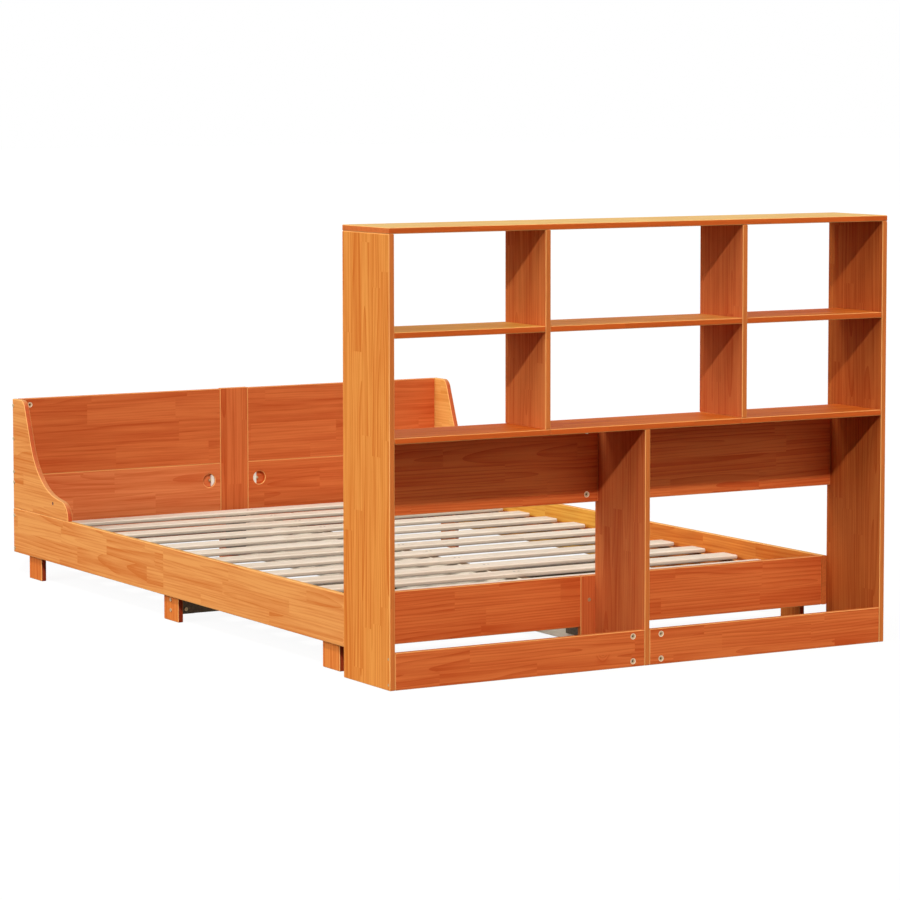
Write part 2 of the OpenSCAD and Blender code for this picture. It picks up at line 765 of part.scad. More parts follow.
// A tie bolt with its head at the half-moon washer in its pocket, drawn for the right side
module tie_bolt() {
    head_x = washer_face + hole_room;
    difference() {
        union() {
            tie_shank(head_x + eps, bolt_d);
            bar_x(head_x, head_x + tie_head_h, head_cam_y, tie_z, tie_head_d);
        }
        bar_x(head_x + tie_head_h / 2, head_x + tie_head_h + eps, head_cam_y, tie_z, socket_d);
    }
}
module half_moon() {
    difference() {
        sunk(head_face, 1, tie_x, tie_z, -washer_cover, tie_pocket_depth - hole_room, washer_d);
        block([washer_face, head_face, tie_z - washer_d], [tie_x + washer_d, head_back, tie_z + washer_d]);
        tie_shank(washer_face + eps, bolt_hole_d);
    }
}
module bolts() {
    color(zinc) {
        both_sides() {
            tie_bolt();
            half_moon();
            for (z = end_rail_cams)
                translate([rail_out, head_cam_y, z]) rotate([0, -90, 0]) bolt(board_t + cam_bolt_len);
            for (z = leg_bolts)
                translate([rail_in, bed_mid, z]) rotate([0, -90, 0]) bolt(board_t + sheet_t);
            translate([leg_in - bar_bolt_x, bar_front - sheet_t, bar_bolt_z])
                rotate([-90, 0, 0]) bolt(sheet_t + bar_wall);
            wing_bolt(bolt_d, nut_d, 0);
        }
        both_sides() end_bolts(bolt_d, cam_bolt_len);
        post_bolt(case_back, 1, bolt_d, bolt_head_d, 0);
        post_bolt(head_back, -1, bolt_d, bolt_head_d, 0);
    }
}

module wood_screws() {
    color(zinc) {
        for (y = slat_rows) slat_screw_set(y, screw_d, screw_head_d, 0);
        both_sides() {
            for (y = leg_rows) leg_screw_set(y, screw_d, screw_head_d);
            ledge_screw_set(screw_d, screw_head_d);
        }
    }
}

bookcase_side_left();
bookcase_side_right();
bookcase_top_left();
bookcase_top_right();
bookcase_divider_left();
bookcase_divider_right();
bookcase_shelf_left();
bookcase_shelf_centre();
bookcase_shelf_right();
bookcase_deck_left();
bookcase_deck_centre();
bookcase_deck_right();
bookcase_upright();
bookcase_kick_left();
bookcase_kick_right();
bookcase_back_left();
bookcase_back_right();
side_rail_left_foot();
side_rail_left_head();
side_rail_right_foot();
side_rail_right_head();
foot_rail_left();
foot_rail_right();
foot_post();
head_post();
headboard_lower_left();
headboard_lower_right();
headboard_upper_left();
headboard_upper_right();
wing_left();
wing_right();
leg_left_foot();
leg_left_middle();
leg_left_head();
leg_right_foot();
leg_right_middle();
leg_right_head();
ledge_left();
ledge_right();
beam_foot();
beam_head();
cross_bar();
steel_brackets();
slat_01();
slat_02();
slat_03();
slat_04();
slat_05();
slat_06();
slat_07();
slat_08();
slat_09();
slat_10();
slat_11();
slat_12();
slat_13();
cam_locks();
bolts();
wood_screws();
dowels();
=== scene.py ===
import bpy
import math
from mathutils import Euler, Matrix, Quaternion, Vector


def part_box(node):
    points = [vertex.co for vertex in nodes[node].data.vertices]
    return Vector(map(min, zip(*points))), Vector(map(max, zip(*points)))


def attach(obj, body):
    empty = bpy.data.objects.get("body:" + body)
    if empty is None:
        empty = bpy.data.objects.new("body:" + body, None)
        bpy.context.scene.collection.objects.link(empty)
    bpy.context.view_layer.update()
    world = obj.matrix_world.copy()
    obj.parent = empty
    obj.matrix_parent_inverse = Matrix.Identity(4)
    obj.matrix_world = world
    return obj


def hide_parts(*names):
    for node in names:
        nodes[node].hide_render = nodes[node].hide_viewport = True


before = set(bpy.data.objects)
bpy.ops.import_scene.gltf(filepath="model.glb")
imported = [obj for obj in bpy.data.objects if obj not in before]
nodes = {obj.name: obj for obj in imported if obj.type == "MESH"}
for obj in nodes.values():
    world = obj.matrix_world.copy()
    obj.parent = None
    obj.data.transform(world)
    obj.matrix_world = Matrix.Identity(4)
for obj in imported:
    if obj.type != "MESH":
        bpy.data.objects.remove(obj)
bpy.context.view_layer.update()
bpy.ops.object.select_all(action="DESELECT")
bpy.context.scene.view_settings.view_transform = "Standard"


# Bookcase side panels
# Two boards glued up from finger-jointed pine strips, stained, lacquered and rounded along their edges.
# They stand on the floor, and bolts through them take hold of the kick boards' ends at two heights.
EDGE_ROUND = 0.0024
GOLD = ((0.84, 0.33, 0.068), (0.66, 0.165, 0.022))
AMBER = ((0.82, 0.26, 0.068), (0.64, 0.13, 0.027))
UMBER = ((0.575, 0.153, 0.032), (0.435, 0.077, 0.013))
FRONT_EDGE = (0.75, 0.20, 0.043)
STAINED_KNOT = (0.16, 0.025, 0.006, 1.0)
# Painted highlight colour for the rounded edges of stained boards
STAINED_EDGE_HIGHLIGHT = (1.0, 0.53, 0.18, 1.0)
RING_GAP = 0.0073
BRANCHES_PER_METRE = 4.2
KNOT_RADIUS = 0.006
KNOT_REACH = 0.016


def pine(name, along, across, seed, tones, edge, ends=None, knots=0.95, middle=0.0, grain=0.50,
         patchy=0.50, strip=0.045, knot=STAINED_KNOT, edge_highlight=STAINED_EDGE_HIGHLIGHT):
    """Pine with its grain along one axis, glued up from strips that lie side by side across another."""
    material = bpy.data.materials.new(name)
    material.use_nodes = True
    tree = material.node_tree
    tree.nodes.clear()
    add = tree.nodes.new
    link = tree.links.new

    def feed(node, values):
        for socket, value in zip(node.inputs, values):
            if isinstance(value, (int, float)):
                socket.default_value = value
            else:
                link(value, socket)

    def calc(operation, *values):
        node = add("ShaderNodeMath")
        node.operation = operation
        feed(node, values)
        return node.outputs[0]

    def point(x, y, z):
        node = add("ShaderNodeCombineXYZ")
        feed(node, (x, y, z))
        return node.outputs[0]

    def noise(vector, detail, roughness):
        node = add("ShaderNodeTexNoise")
        node.inputs["Scale"].default_value = 1.0
        node.inputs["Detail"].default_value = detail
        node.inputs["Roughness"].default_value = roughness
        link(vector, node.inputs["Vector"])
        return node.outputs["Fac"]

    def blend(factor, first, second):
        node = add("ShaderNodeMix")
        node.data_type = "RGBA"
        link(factor, node.inputs["Factor"])
        for socket, value in ((node.inputs[6], first), (node.inputs[7], second)):
            if isinstance(value, tuple):
                socket.default_value = value
            else:
                link(value, socket)
        return node.outputs[2]

    split = add("ShaderNodeSeparateXYZ")
    link(add("ShaderNodeTexCoord").outputs["Object"], split.inputs[0])
    through = ({"X", "Y", "Z"} - {along, across}).pop()
    u = split.outputs[along]
    v = split.outputs[across]
    w = calc("SUBTRACT", split.outputs[through], middle)

    # Strips lie side by side, and each is a row of blocks with a random length and place
    row = calc("ADD", calc("DIVIDE", v, strip), seed * 0.37)
    lane = calc("FLOOR", row)
    lane_dice = add("ShaderNodeTexWhiteNoise")
    lane_dice.noise_dimensions = "1D"
    link(calc("ADD", lane, seed * 13.7), lane_dice.inputs["W"])
    length = calc("MULTIPLY_ADD", lane_dice.outputs["Value"], 0.26, 0.24)
    start = calc("MULTIPLY_ADD", lane_dice.outputs["Value"], 9.0, calc("DIVIDE", u, length))
    block = calc("FLOOR", start)
    block_dice = add("ShaderNodeTexWhiteNoise")
    link(point(lane, block, seed * 1.0), block_dice.inputs["Vector"])
    dice = add("ShaderNodeSeparateColor")
    link(block_dice.outputs["Color"], dice.inputs[0])
    red, green, blue = dice.outputs

    # Each block is cut from its own place in a trunk, so its growth rings have their own centre
    wander = noise(point(calc("MULTIPLY_ADD", red, 31.0, calc("MULTIPLY", u, 1.7)),
                         calc("MULTIPLY", v, 9.0), calc("MULTIPLY", w, 9.0)), 2.0, 0.5)
    wander = calc("MULTIPLY", calc("SUBTRACT", wander, 0.5), 0.022)
    aside = calc("MULTIPLY", calc("SUBTRACT", calc("FRACT", row), 0.5), strip)
    aside = calc("ADD", calc("MULTIPLY_ADD", calc("SUBTRACT", red, 0.5), 0.11, aside), wander)
    slope = calc("MULTIPLY", calc("SUBTRACT", green, 0.5), calc("MULTIPLY", u, 0.07))
    deep = calc("ADD", calc("MULTIPLY_ADD", blue, 0.05, 0.010), calc("ADD", w, slope))
    deep = calc("ADD", deep, wander)
    radius = calc("SQRT", calc("ADD", calc("MULTIPLY", aside, aside), calc("MULTIPLY", deep, deep)))

    # Now and then a branch has left a knot, and the rings bend round it
    branch = add("ShaderNodeTexVoronoi")
    branch.voronoi_dimensions = "2D"
    branch.inputs["Scale"].default_value = BRANCHES_PER_METRE
    spot = point(calc("MULTIPLY_ADD", red, 9.0, u), calc("MULTIPLY_ADD", green, 9.0, v), 0.0)
    link(spot, branch.inputs["Vector"])
    branch_dice = add("ShaderNodeSeparateColor")
    link(branch.outputs["Color"], branch_dice.inputs[0])
    present = calc("GREATER_THAN", branch_dice.outputs[0], knots)
    away = calc("DIVIDE", branch.outputs["Distance"], BRANCHES_PER_METRE)
    falling = calc("MULTIPLY", calc("POWER", calc("DIVIDE", away, KNOT_REACH), 2.0), -1.0)
    swirl = calc("POWER", 2.718, falling)
    swirl = calc("MULTIPLY", swirl, present)
    rings = calc("MULTIPLY_ADD", swirl, 3.0, calc("DIVIDE", radius, RING_GAP))
    late = calc("POWER", calc("FRACT", rings), 2.6)
    heart = calc("SUBTRACT", 1.0, calc("MINIMUM", calc("DIVIDE", away, KNOT_RADIUS), 1.0))
    heart = calc("MINIMUM", calc("MULTIPLY", calc("MULTIPLY", present, heart), 2.2), 1.0)

    # Long soft streaks of darker stain, and fine fibres
    streak = noise(point(calc("MULTIPLY_ADD", green, 17.0, calc("MULTIPLY", u, 2.6)),
                         calc("MULTIPLY", v, 85.0), calc("MULTIPLY", w, 85.0)), 3.0, 0.6)
    fibre = noise(point(calc("MULTIPLY", u, 26.0), calc("MULTIPLY", v, 700.0),
                        calc("MULTIPLY", w, 700.0)), 2.0, 0.6)
    shade = calc("MULTIPLY_ADD", calc("SUBTRACT", streak, 0.5), 2.2, 0.42 - 0.3 * grain)
    shade = calc("MULTIPLY_ADD", late, grain, shade)
    shade = calc("MULTIPLY_ADD", calc("SUBTRACT", blue, 0.5), patchy, shade)
    shade = calc("MULTIPLY_ADD", calc("SUBTRACT", fibre, 0.5), 0.40, shade)
    shade = calc("MAXIMUM", calc("MINIMUM", shade, 1.2), -0.2)
    light, dark = tones
    colour = blend(shade, (*light, 1.0), (*dark, 1.0))
    colour = blend(heart, colour, knot)

    # Sawn edges take the stain in another way than the planed faces, and rounded corners get a painted
    # highlight
    surface = add("ShaderNodeSeparateXYZ")
    link(add("ShaderNodeNewGeometry").outputs["Normal"], surface.inputs[0])
    facing = [calc("ABSOLUTE", surface.outputs[axis]) for axis in (through, along, across)]
    turned = calc("MAXIMUM", calc("SUBTRACT", 0.62, facing[0]), 0.0)
    side_on = calc("MINIMUM", calc("MULTIPLY", turned, 5.0), 1.0)
    # The edge colours given for the legs, ledges, rail ends, slats and beam are painted shade, and the
    # wings' upward edge colour is painted highlight
    ends = ends or edge
    edge_tone_plain = blend(facing[1], (*edge, 1.0), (*ends, 1.0))
    edge_tone_darker = blend(facing[1], (*(0.7 * part for part in edge), 1.0), (*(0.7 * part for part in ends), 1.0))
    edge_tone = blend(calc("MULTIPLY", shade, 0.6), edge_tone_plain, edge_tone_darker)
    colour = blend(side_on, colour, edge_tone)
    # Painted highlight: rounded corners, where the normal turns between faces, are painted lighter
    in_plane = calc("SUBTRACT", 1.0, calc("MULTIPLY", facing[0], facing[0]))
    in_plane = calc("SQRT", calc("MAXIMUM", in_plane, 0.0))
    flattest = calc("MAXIMUM", facing[0], in_plane)
    highlight_mask = calc("MINIMUM", calc("MULTIPLY", calc("SUBTRACT", 1.0, flattest), 4.5), 1.0)
    highlight_mask = calc("MULTIPLY", highlight_mask, calc("MULTIPLY_ADD", streak, 0.7, 0.55))
    colour = blend(calc("MINIMUM", highlight_mask, 0.9), colour, edge_highlight)

    shader = add("ShaderNodeBsdfPrincipled")
    shader.inputs["Specular IOR Level"].default_value = 0.05
    link(colour, shader.inputs["Base Color"])
    dullness = calc("MULTIPLY_ADD", fibre, 0.14, calc("MULTIPLY_ADD", late, 0.06, 0.52))
    link(dullness, shader.inputs["Roughness"])
    bump = add("ShaderNodeBump")
    bump.inputs["Strength"].default_value = 0.22
    bump.inputs["Distance"].default_value = 0.0006
    link(calc("MULTIPLY_ADD", fibre, 0.6, calc("MULTIPLY", late, 0.5)), bump.inputs["Height"])
    link(bump.outputs[0], shader.inputs["Normal"])
    link(shader.outputs[0], add("ShaderNodeOutputMaterial").inputs[0])
    return material


bookcase_pieces = []
bed_pieces = []


def finish_piece(piece, material, slot, *replaced):
    """Keeps flat faces flat, then sets the material and the body, and hides the nodes it stands for; the
    slot is not used.
    """
    bpy.ops.object.select_all(action="DESELECT")
    piece.select_set(True)
    bpy.context.view_layer.objects.active = piece
    bpy.ops.object.transform_apply(location=True, rotation=True, scale=True)
    bpy.ops.object.shade_smooth_by_angle(angle=math.radians(40))
    even = piece.modifiers.new("even", "WEIGHTED_NORMAL")
    even.keep_sharp = True
    bpy.ops.object.modifier_apply(modifier=even.name)
    if material:
        piece.data.materials.clear()
        piece.data.materials.append(material)
    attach(piece, "root")
    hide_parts(*replaced)
    piece.select_set(False)
    group = bookcase_pieces if replaced[0].startswith("bookcase") else bed_pieces
    group.append(piece)


def block_like(node, name, rounding=EDGE_ROUND, segments=3, sharp=None):
    """A block in the box of a node, with its edges rounded but for those whose middle is sharp."""
    low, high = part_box(node)
    bpy.ops.object.select_all(action="DESELECT")
    bpy.ops.mesh.primitive_cube_add(size=1, location=(low + high) / 2)
    piece = bpy.context.object
    piece.name = name
    piece.scale = high - low
    bpy.ops.object.transform_apply(location=True, rotation=True, scale=True)
    weights = piece.data.attributes.new("bevel_weight_edge", "FLOAT", "EDGE")
    for edge in piece.data.edges:
        first, second = (piece.data.vertices[end].co for end in edge.vertices)
        weights.data[edge.index].value = 0.0 if sharp and sharp((first + second) / 2) else 1.0
    soft = piece.modifiers.new("soft", "BEVEL")
    soft.width = rounding
    soft.segments = segments
    soft.limit_method = "WEIGHT"
    bpy.ops.object.modifier_apply(modifier=soft.name)
    piece.data.attributes.remove(piece.data.attributes["bevel_weight_edge"])
    return piece


def cut_away(piece, cutter):
    """Takes the cutter's shape out of a piece and removes the cutter."""
    bpy.ops.object.select_all(action="DESELECT")
    bpy.context.view_layer.objects.active = piece
    cut = piece.modifiers.new("cut", "BOOLEAN")
    cut.operation = "DIFFERENCE"
    cut.solver = "EXACT"
    cut.object = cutter
    bpy.ops.object.modifier_apply(modifier=cut.name)
    bpy.data.objects.remove(cutter)


TURNS = {"X": (0, math.pi / 2, 0), "Y": (math.pi / 2, 0, 0), "Z": (0, 0, 0)}


def bore(piece, centre, axis, radius, depth, sides=40):
    """Cuts a round hole about a centre point, along one axis."""
    bpy.ops.object.select_all(action="DESELECT")
    bpy.ops.mesh.primitive_cylinder_add(
        vertices=sides, radius=radius, depth=depth, location=centre, rotation=TURNS[axis])
    cut_away(piece, bpy.context.object)


def middle_of(node, axis):
    """The middle of a node along one axis."""
    low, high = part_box(node)
    place = "XYZ".index(axis)
    return (low[place] + high[place]) / 2


HALF_WIDTH = 0.730
CASE_FRONT = -1.140
CASE_BACK = -0.910
BOARD = 0.015
BOLT_HOLE = 0.0032
BOLT_MARK = 0.002
TOUCHING = 0.001
KICK_LOCKS = (0.014, 0.076)
for side, tones, seed in (("left", GOLD, 1), ("right", UMBER, 2)):
    node = "bookcase_side_" + side
    inner = math.copysign(HALF_WIDTH - BOARD, middle_of(node, "X"))
    panel = block_like(node, "side_panel_" + side,
                       sharp=lambda middle: math.dist(middle[:2], (inner, CASE_BACK)) < TOUCHING)
    outer = math.copysign(HALF_WIDTH, middle_of(node, "X"))
    for height in KICK_LOCKS:
        bore(panel, (outer, CASE_FRONT + BOARD / 2, height), "X", BOLT_HOLE, BOLT_MARK, 24)
    wood = pine("side_panel_pine_" + side, "Z", "Y", seed, tones, FRONT_EDGE,
                middle=middle_of(node, "X"), grain=0.75, patchy=0.25)
    finish_piece(panel, wood, "stained_pine", node)


# Bookcase top, shelves and deck
# The top is two boards that meet over the middle, and the deck three that meet under the dividers.
# Each is cut from its own glued-up sheet, so the tone steps at every joint.
CHESTNUT = ((0.78, 0.205, 0.026), (0.60, 0.10, 0.010))
HONEY = ((0.85, 0.36, 0.082), (0.67, 0.21, 0.034))
STRAW = ((0.86, 0.43, 0.085), (0.69, 0.27, 0.036))
# Painted highlight: the top boards are coloured pale gold for the strong light on their upper faces
PALE_TOP_HIGHLIGHT = ((0.87, 0.58, 0.215), (0.76, 0.41, 0.115))
RUSSET = ((0.80, 0.19, 0.046), (0.62, 0.095, 0.018))
BRICK = ((0.71, 0.17, 0.046), (0.54, 0.085, 0.018))
RUSSET_EDGE = (0.73, 0.13, 0.020)
RUSSET_END = (0.71, 0.18, 0.042)
FLAT_BOARDS = (
    ("bookcase_top_left", PALE_TOP_HIGHLIGHT, 3),
    ("bookcase_top_right", PALE_TOP_HIGHLIGHT, 4),
    ("bookcase_shelf_left", STRAW, 5),
    ("bookcase_shelf_centre", HONEY, 6),
    ("bookcase_shelf_right", CHESTNUT, 7),
    ("bookcase_deck_left", CHESTNUT, 8),
    ("bookcase_deck_centre", CHESTNUT, 9),
    ("bookcase_deck_right", CHESTNUT, 10),
)
for node, tones, seed in FLAT_BOARDS:
    shelf = block_like(node, node.replace("bookcase_", "") + "_board")
    wood = pine(node + "_pine", "X", "Y", seed, tones, RUSSET_EDGE, RUSSET_END, middle=middle_of(node, "Z"))
    finish_piece(shelf, wood, "stained_pine", node)


# Bookcase dividers and centre upright
# Narrow boards with upright grain; the dividers stand on the deck and the upright carries its middle.
# The upright also takes the locks of the kick boards and of the back boards.
SIENNA = ((0.71, 0.20, 0.058), (0.555, 0.10, 0.023))
for node, tones, seed in (
    ("bookcase_divider_left", AMBER, 11),
    ("bookcase_divider_right", SIENNA, 12),
    ("bookcase_upright", SIENNA, 73),
):
    partition = block_like(node, node.replace("bookcase_", "") + "_board")
    wood = pine(node + "_pine", "Z", "Y", seed, tones, FRONT_EDGE, middle=middle_of(node, "X"))
    finish_piece(partition, wood, "stained_pine", node)


# Kick boards and back boards
# The kick boards close the foot of the bookcase, and the back boards hang under the deck's rear edge.
# Each is pulled to the upright by two cam locks, which sit in round pockets in its front face.
LOCK_X = 0.0415
LOCK_POCKET = 0.0078
LOCK_DEPTH = 0.0122
BACK_LOCKS = (0.407, 0.567)
for node, locks, seed in (
    ("bookcase_kick_left", KICK_LOCKS, 14),
    ("bookcase_kick_right", KICK_LOCKS, 15),
    ("bookcase_back_left", BACK_LOCKS, 16),
    ("bookcase_back_right", BACK_LOCKS, 17),
):
    low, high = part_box(node)
    crossboard = block_like(node, node.replace("bookcase_", "") + "_board")
    for height in locks:
        place = (math.copysign(LOCK_X, low.x + high.x), low.y, height)
        bore(crossboard, place, "Y", LOCK_POCKET, 2 * LOCK_DEPTH)
    wood = pine(node + "_pine", "X", "Z", seed, RUSSET, FRONT_EDGE, knots=0.88, middle=middle_of(node, "Y"),
                grain=0.75)
    finish_piece(crossboard, wood, "stained_pine", node)


# Side rails
# Long boards on edge, in two lengths a side that meet behind the middle leg.
# Bolts go through their head ends into the headboard, and a ledge for the slats is screwed inside them.
HEAD_HEIGHTS = (0.081, 0.178, 0.275, 0.306, 0.403, 0.500)
HEAD_MIDDLE = 1.1325
RAIL_EDGE = (0.86, 0.42, 0.12)
# Painted shade: the rails' end faces are coloured darker, as if in shadow
RAIL_END_SHADE = (0.68, 0.17, 0.038)
MAIZE = ((0.84, 0.355, 0.10), (0.66, 0.18, 0.034))
COPPER = ((0.66, 0.225, 0.042), (0.50, 0.11, 0.015))
OCHRE = ((0.74, 0.40, 0.070), (0.58, 0.22, 0.026))
for node, tones, seed in (
    ("side_rail_left_foot", MAIZE, 18),
    ("side_rail_left_head", MAIZE, 19),
    ("side_rail_right_foot", COPPER, 20),
    ("side_rail_right_head", OCHRE, 21),
):
    low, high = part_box(node)
    rail = block_like(node, node + "_board",
                      sharp=lambda middle: min(middle.y - low.y, high.y - middle.y) < TOUCHING)
    wood = pine(node + "_pine", "Y", "Z", seed, tones, RAIL_EDGE, RAIL_END_SHADE, middle=middle_of(node, "X"))
    finish_piece(rail, wood, "stained_pine", node)


# Foot rails, posts and headboard
# Two foot rails meet a short post behind the bookcase, and four headboard boards meet a tall one.
# Each lower headboard board has a large round pocket for the bolt that ties it to the post.
POST_BOLT = (0.0235, 0.137)
BOLT_SINK = 0.0051
SINK_DEPTH = 0.0021
for node, seed in (("foot_post", 22), ("head_post", 23)):
    low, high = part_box(node)
    post = block_like(node, node + "_board")
    outer_face = low.y if node == "foot_post" else high.y
    for x in (-POST_BOLT[0], POST_BOLT[0]):
        bore(post, (x, outer_face, POST_BOLT[1]), "Y", BOLT_SINK, 2 * SINK_DEPTH)
    wood = pine(node + "_pine", "Z", "X", seed, BRICK, FRONT_EDGE, strip=0.049, middle=middle_of(node, "Y"))
    finish_piece(post, wood, "stained_pine", node)
for node, seed in (("foot_rail_left", 24), ("foot_rail_right", 25)):
    rail = block_like(node, node + "_board")
    wood = pine(node + "_pine", "X", "Z", seed, RUSSET, FRONT_EDGE, middle=middle_of(node, "Y"),
                grain=0.7)
    finish_piece(rail, wood, "stained_pine", node)
HEAD_LOCK_X = 0.666
TIE_PLACE = (0.0845, 0.243)
TIE_RADIUS = 0.020
TIE_DEPTH = 0.012
TIE_RIM = 0.0015
lock_places = []


def select_end(piece, direction):
    """Selects the flat end of a round piece that looks in one direction."""
    bpy.ops.object.mode_set(mode="EDIT")
    bpy.ops.mesh.select_mode(type="FACE")
    bpy.ops.mesh.select_all(action="DESELECT")
    bpy.ops.object.mode_set(mode="OBJECT")
    for face in piece.data.polygons:
        face.select = face.normal.dot(direction) > 0.9
    bpy.ops.object.mode_set(mode="EDIT")


CORAL = ((0.80, 0.235, 0.078), (0.62, 0.12, 0.032))
for node, tones, seed in (
    ("headboard_lower_left", CORAL, 26),
    ("headboard_lower_right", BRICK, 27),
    ("headboard_upper_left", BRICK, 28),
    ("headboard_upper_right", BRICK, 29),
):
    low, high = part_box(node)
    side = math.copysign(1, low.x + high.x)
    face = high.y if node == "headboard_upper_right" else low.y
    panel = block_like(node, node + "_board")
    for height in HEAD_HEIGHTS:
        if low.z < height < high.z:
            place = Vector((side * HEAD_LOCK_X, face, height))
            bore(panel, place, "Y", LOCK_POCKET, 2 * LOCK_DEPTH)
            lock_places.append((place, face == high.y))
    if "lower" in node:
        tie = Vector((side * TIE_PLACE[0], low.y + TIE_DEPTH, TIE_PLACE[1]))
        bpy.ops.object.select_all(action="DESELECT")
        bpy.ops.mesh.primitive_cylinder_add(
            vertices=64, radius=TIE_RADIUS, depth=TIE_DEPTH - TIE_RIM, rotation=TURNS["Y"])
        cutter = bpy.context.object
        bpy.ops.object.transform_apply(location=True, rotation=True, scale=True)
        select_end(cutter, Vector((0, -1, 0)))
        bpy.ops.mesh.extrude_region_move(TRANSFORM_OT_translate={"value": (0, -2 * TIE_RIM, 0)})
        wider = 1 + 2 * TIE_RIM / TIE_RADIUS
        bpy.ops.transform.resize(value=(wider, 1, wider))
        bpy.ops.object.mode_set(mode="OBJECT")
        cutter.location = tie - Vector((0, (TIE_DEPTH - TIE_RIM) / 2, 0))
        cut_away(panel, cutter)
    wood = pine(node + "_pine", "X", "Z", seed, tones, RUSSET_EDGE, middle=middle_of(node, "Y"),
                grain=0.4, patchy=0.30, strip=0.065)
    finish_piece(panel, wood, "stained_pine", node)


# Headboard wings
# A shaped board stands on each side rail, with a round nose, a long hollow sweep and a rounded top corner.
# Bolts hold its back edge to the headboard, and a barrel nut near the nose holds it down on the rail.
WING_FRONT = 0.753
WING_FOOT = 0.199
WING_TOP = 0.519
HEAD_BACK = 1.140
NOSE_RADIUS = 0.050
NOSE_LIFT = 0.003
NOSE_SLOPE = math.radians(8)
NOSE_RUN = 0.042
SWEEP_RADIUS = 0.221
RISE_SLOPE = math.radians(69)
CORNER_RADIUS = 0.030
FIT_GAP = 0.0001
NUT_PLACE = (0.858, 0.240)
NUT_RADIUS = 0.005
NUT_LENGTH = 0.012
NUT_COVER = 0.001
# Painted highlight: the wings' edge faces that look up are coloured pale gold, as if lit from above
WING_EDGE_HIGHLIGHT = (0.84, 0.42, 0.16)
WING_END = (0.66, 0.11, 0.032)
SAND = ((0.84, 0.43, 0.12), (0.68, 0.26, 0.05))


def arc(centre, radius, start, end, steps):
    """Points on an arc in Y and Z."""
    angles = [start + (end - start) * step / steps for step in range(steps + 1)]
    return [(centre[0] + radius * math.cos(a), centre[1] + radius * math.sin(a)) for a in angles]


nose = (WING_FRONT + NOSE_RADIUS, WING_FOOT + NOSE_LIFT)
run_start = (nose[0] - NOSE_RADIUS * math.sin(NOSE_SLOPE), nose[1] + NOSE_RADIUS * math.cos(NOSE_SLOPE))
run_end = (run_start[0] + NOSE_RUN * math.cos(NOSE_SLOPE), run_start[1] + NOSE_RUN * math.sin(NOSE_SLOPE))
sweep = (run_end[0] - SWEEP_RADIUS * math.sin(NOSE_SLOPE), run_end[1] + SWEEP_RADIUS * math.cos(NOSE_SLOPE))
sweep_end = (sweep[0] + SWEEP_RADIUS * math.sin(RISE_SLOPE), sweep[1] - SWEEP_RADIUS * math.cos(RISE_SLOPE))
rise_y = sweep_end[0] + (WING_TOP - sweep_end[1]) / math.tan(RISE_SLOPE)
corner = (rise_y + CORNER_RADIUS * math.tan(RISE_SLOPE / 2), WING_TOP - CORNER_RADIUS)
outline = [(HEAD_BACK, WING_FOOT), (WING_FRONT, WING_FOOT)]
outline += arc(nose, NOSE_RADIUS, math.pi, math.pi / 2 + NOSE_SLOPE, 20)
outline += arc(sweep, SWEEP_RADIUS, NOSE_SLOPE - math.pi / 2, RISE_SLOPE - math.pi / 2, 40)
outline += arc(corner, CORNER_RADIUS, math.pi / 2 + RISE_SLOPE, math.pi / 2, 16)
outline.append((HEAD_BACK, WING_TOP))
for node, tones, seed in (("wing_left", MAIZE, 30), ("wing_right", SAND, 31)):
    low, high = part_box(node)
    bpy.ops.object.select_all(action="DESELECT")
    bpy.ops.mesh.primitive_circle_add(vertices=len(outline), radius=1, fill_type="NGON")
    wing = bpy.context.object
    wing.name = node + "_board"
    for vertex, (y, z) in zip(wing.data.vertices, outline):
        vertex.co = (low.x, y, z)
    bpy.ops.object.mode_set(mode="EDIT")
    bpy.ops.mesh.select_all(action="SELECT")
    bpy.ops.mesh.extrude_region_move(TRANSFORM_OT_translate={"value": (high.x - low.x, 0, 0)})
    bpy.ops.mesh.select_all(action="SELECT")
    bpy.ops.mesh.normals_make_consistent(inside=False)
    bpy.ops.object.mode_set(mode="OBJECT")
    soft = wing.modifiers.new("soft", "BEVEL")
    soft.width = EDGE_ROUND
    soft.segments = 3
    soft.limit_method = "ANGLE"
    soft.angle_limit = math.radians(50)
    bpy.ops.object.modifier_apply(modifier=soft.name)
    outer = high.x if high.x > 0 else low.x
    bore(wing, (outer, *NUT_PLACE), "X", NUT_RADIUS + 2 * FIT_GAP, 2 * (NUT_COVER + NUT_LENGTH))
    wood = pine(node + "_pine", "Y", "Z", seed, tones, WING_EDGE_HIGHLIGHT, WING_END, middle=middle_of(node, "X"))
    finish_piece(wing, wood, "stained_pine", node)


# Legs and ledges
# Short boards with upright grain stand inside the rails, and a square ledge along each carries the slats.
# The legs' narrow edge faces are painted nearly brown and the ledges dark brown, both as painted shade.
# Painted shade for the legs' narrow edge faces
LEG_EDGE_SHADE = (0.38, 0.045, 0.012)
LEG_TONES = ((0.83, 0.27, 0.056), (0.64, 0.13, 0.020))
# Painted shade: the ledges are coloured dark brown for the shade under the slats
LEDGE_SHADE_TONES = ((0.46, 0.15, 0.034), (0.34, 0.085, 0.016))
for number, node in enumerate(sorted(n for n in nodes if n.startswith("leg_"))):
    leg = block_like(node, node + "_board")
    wood = pine(node + "_pine", "Z", "Y", 32 + number, LEG_TONES, LEG_EDGE_SHADE, middle=middle_of(node, "X"))
    finish_piece(leg, wood, "stained_pine", node)
for node, seed in (("ledge_left", 38), ("ledge_right", 39)):
    ledge = block_like(node, node + "_strip")
    wood = pine(node + "_pine", "Y", "Z", seed, LEDGE_SHADE_TONES, LEDGE_SHADE_TONES[1], middle=middle_of(node, "X"))
    finish_piece(ledge, wood, "stained_pine", node)


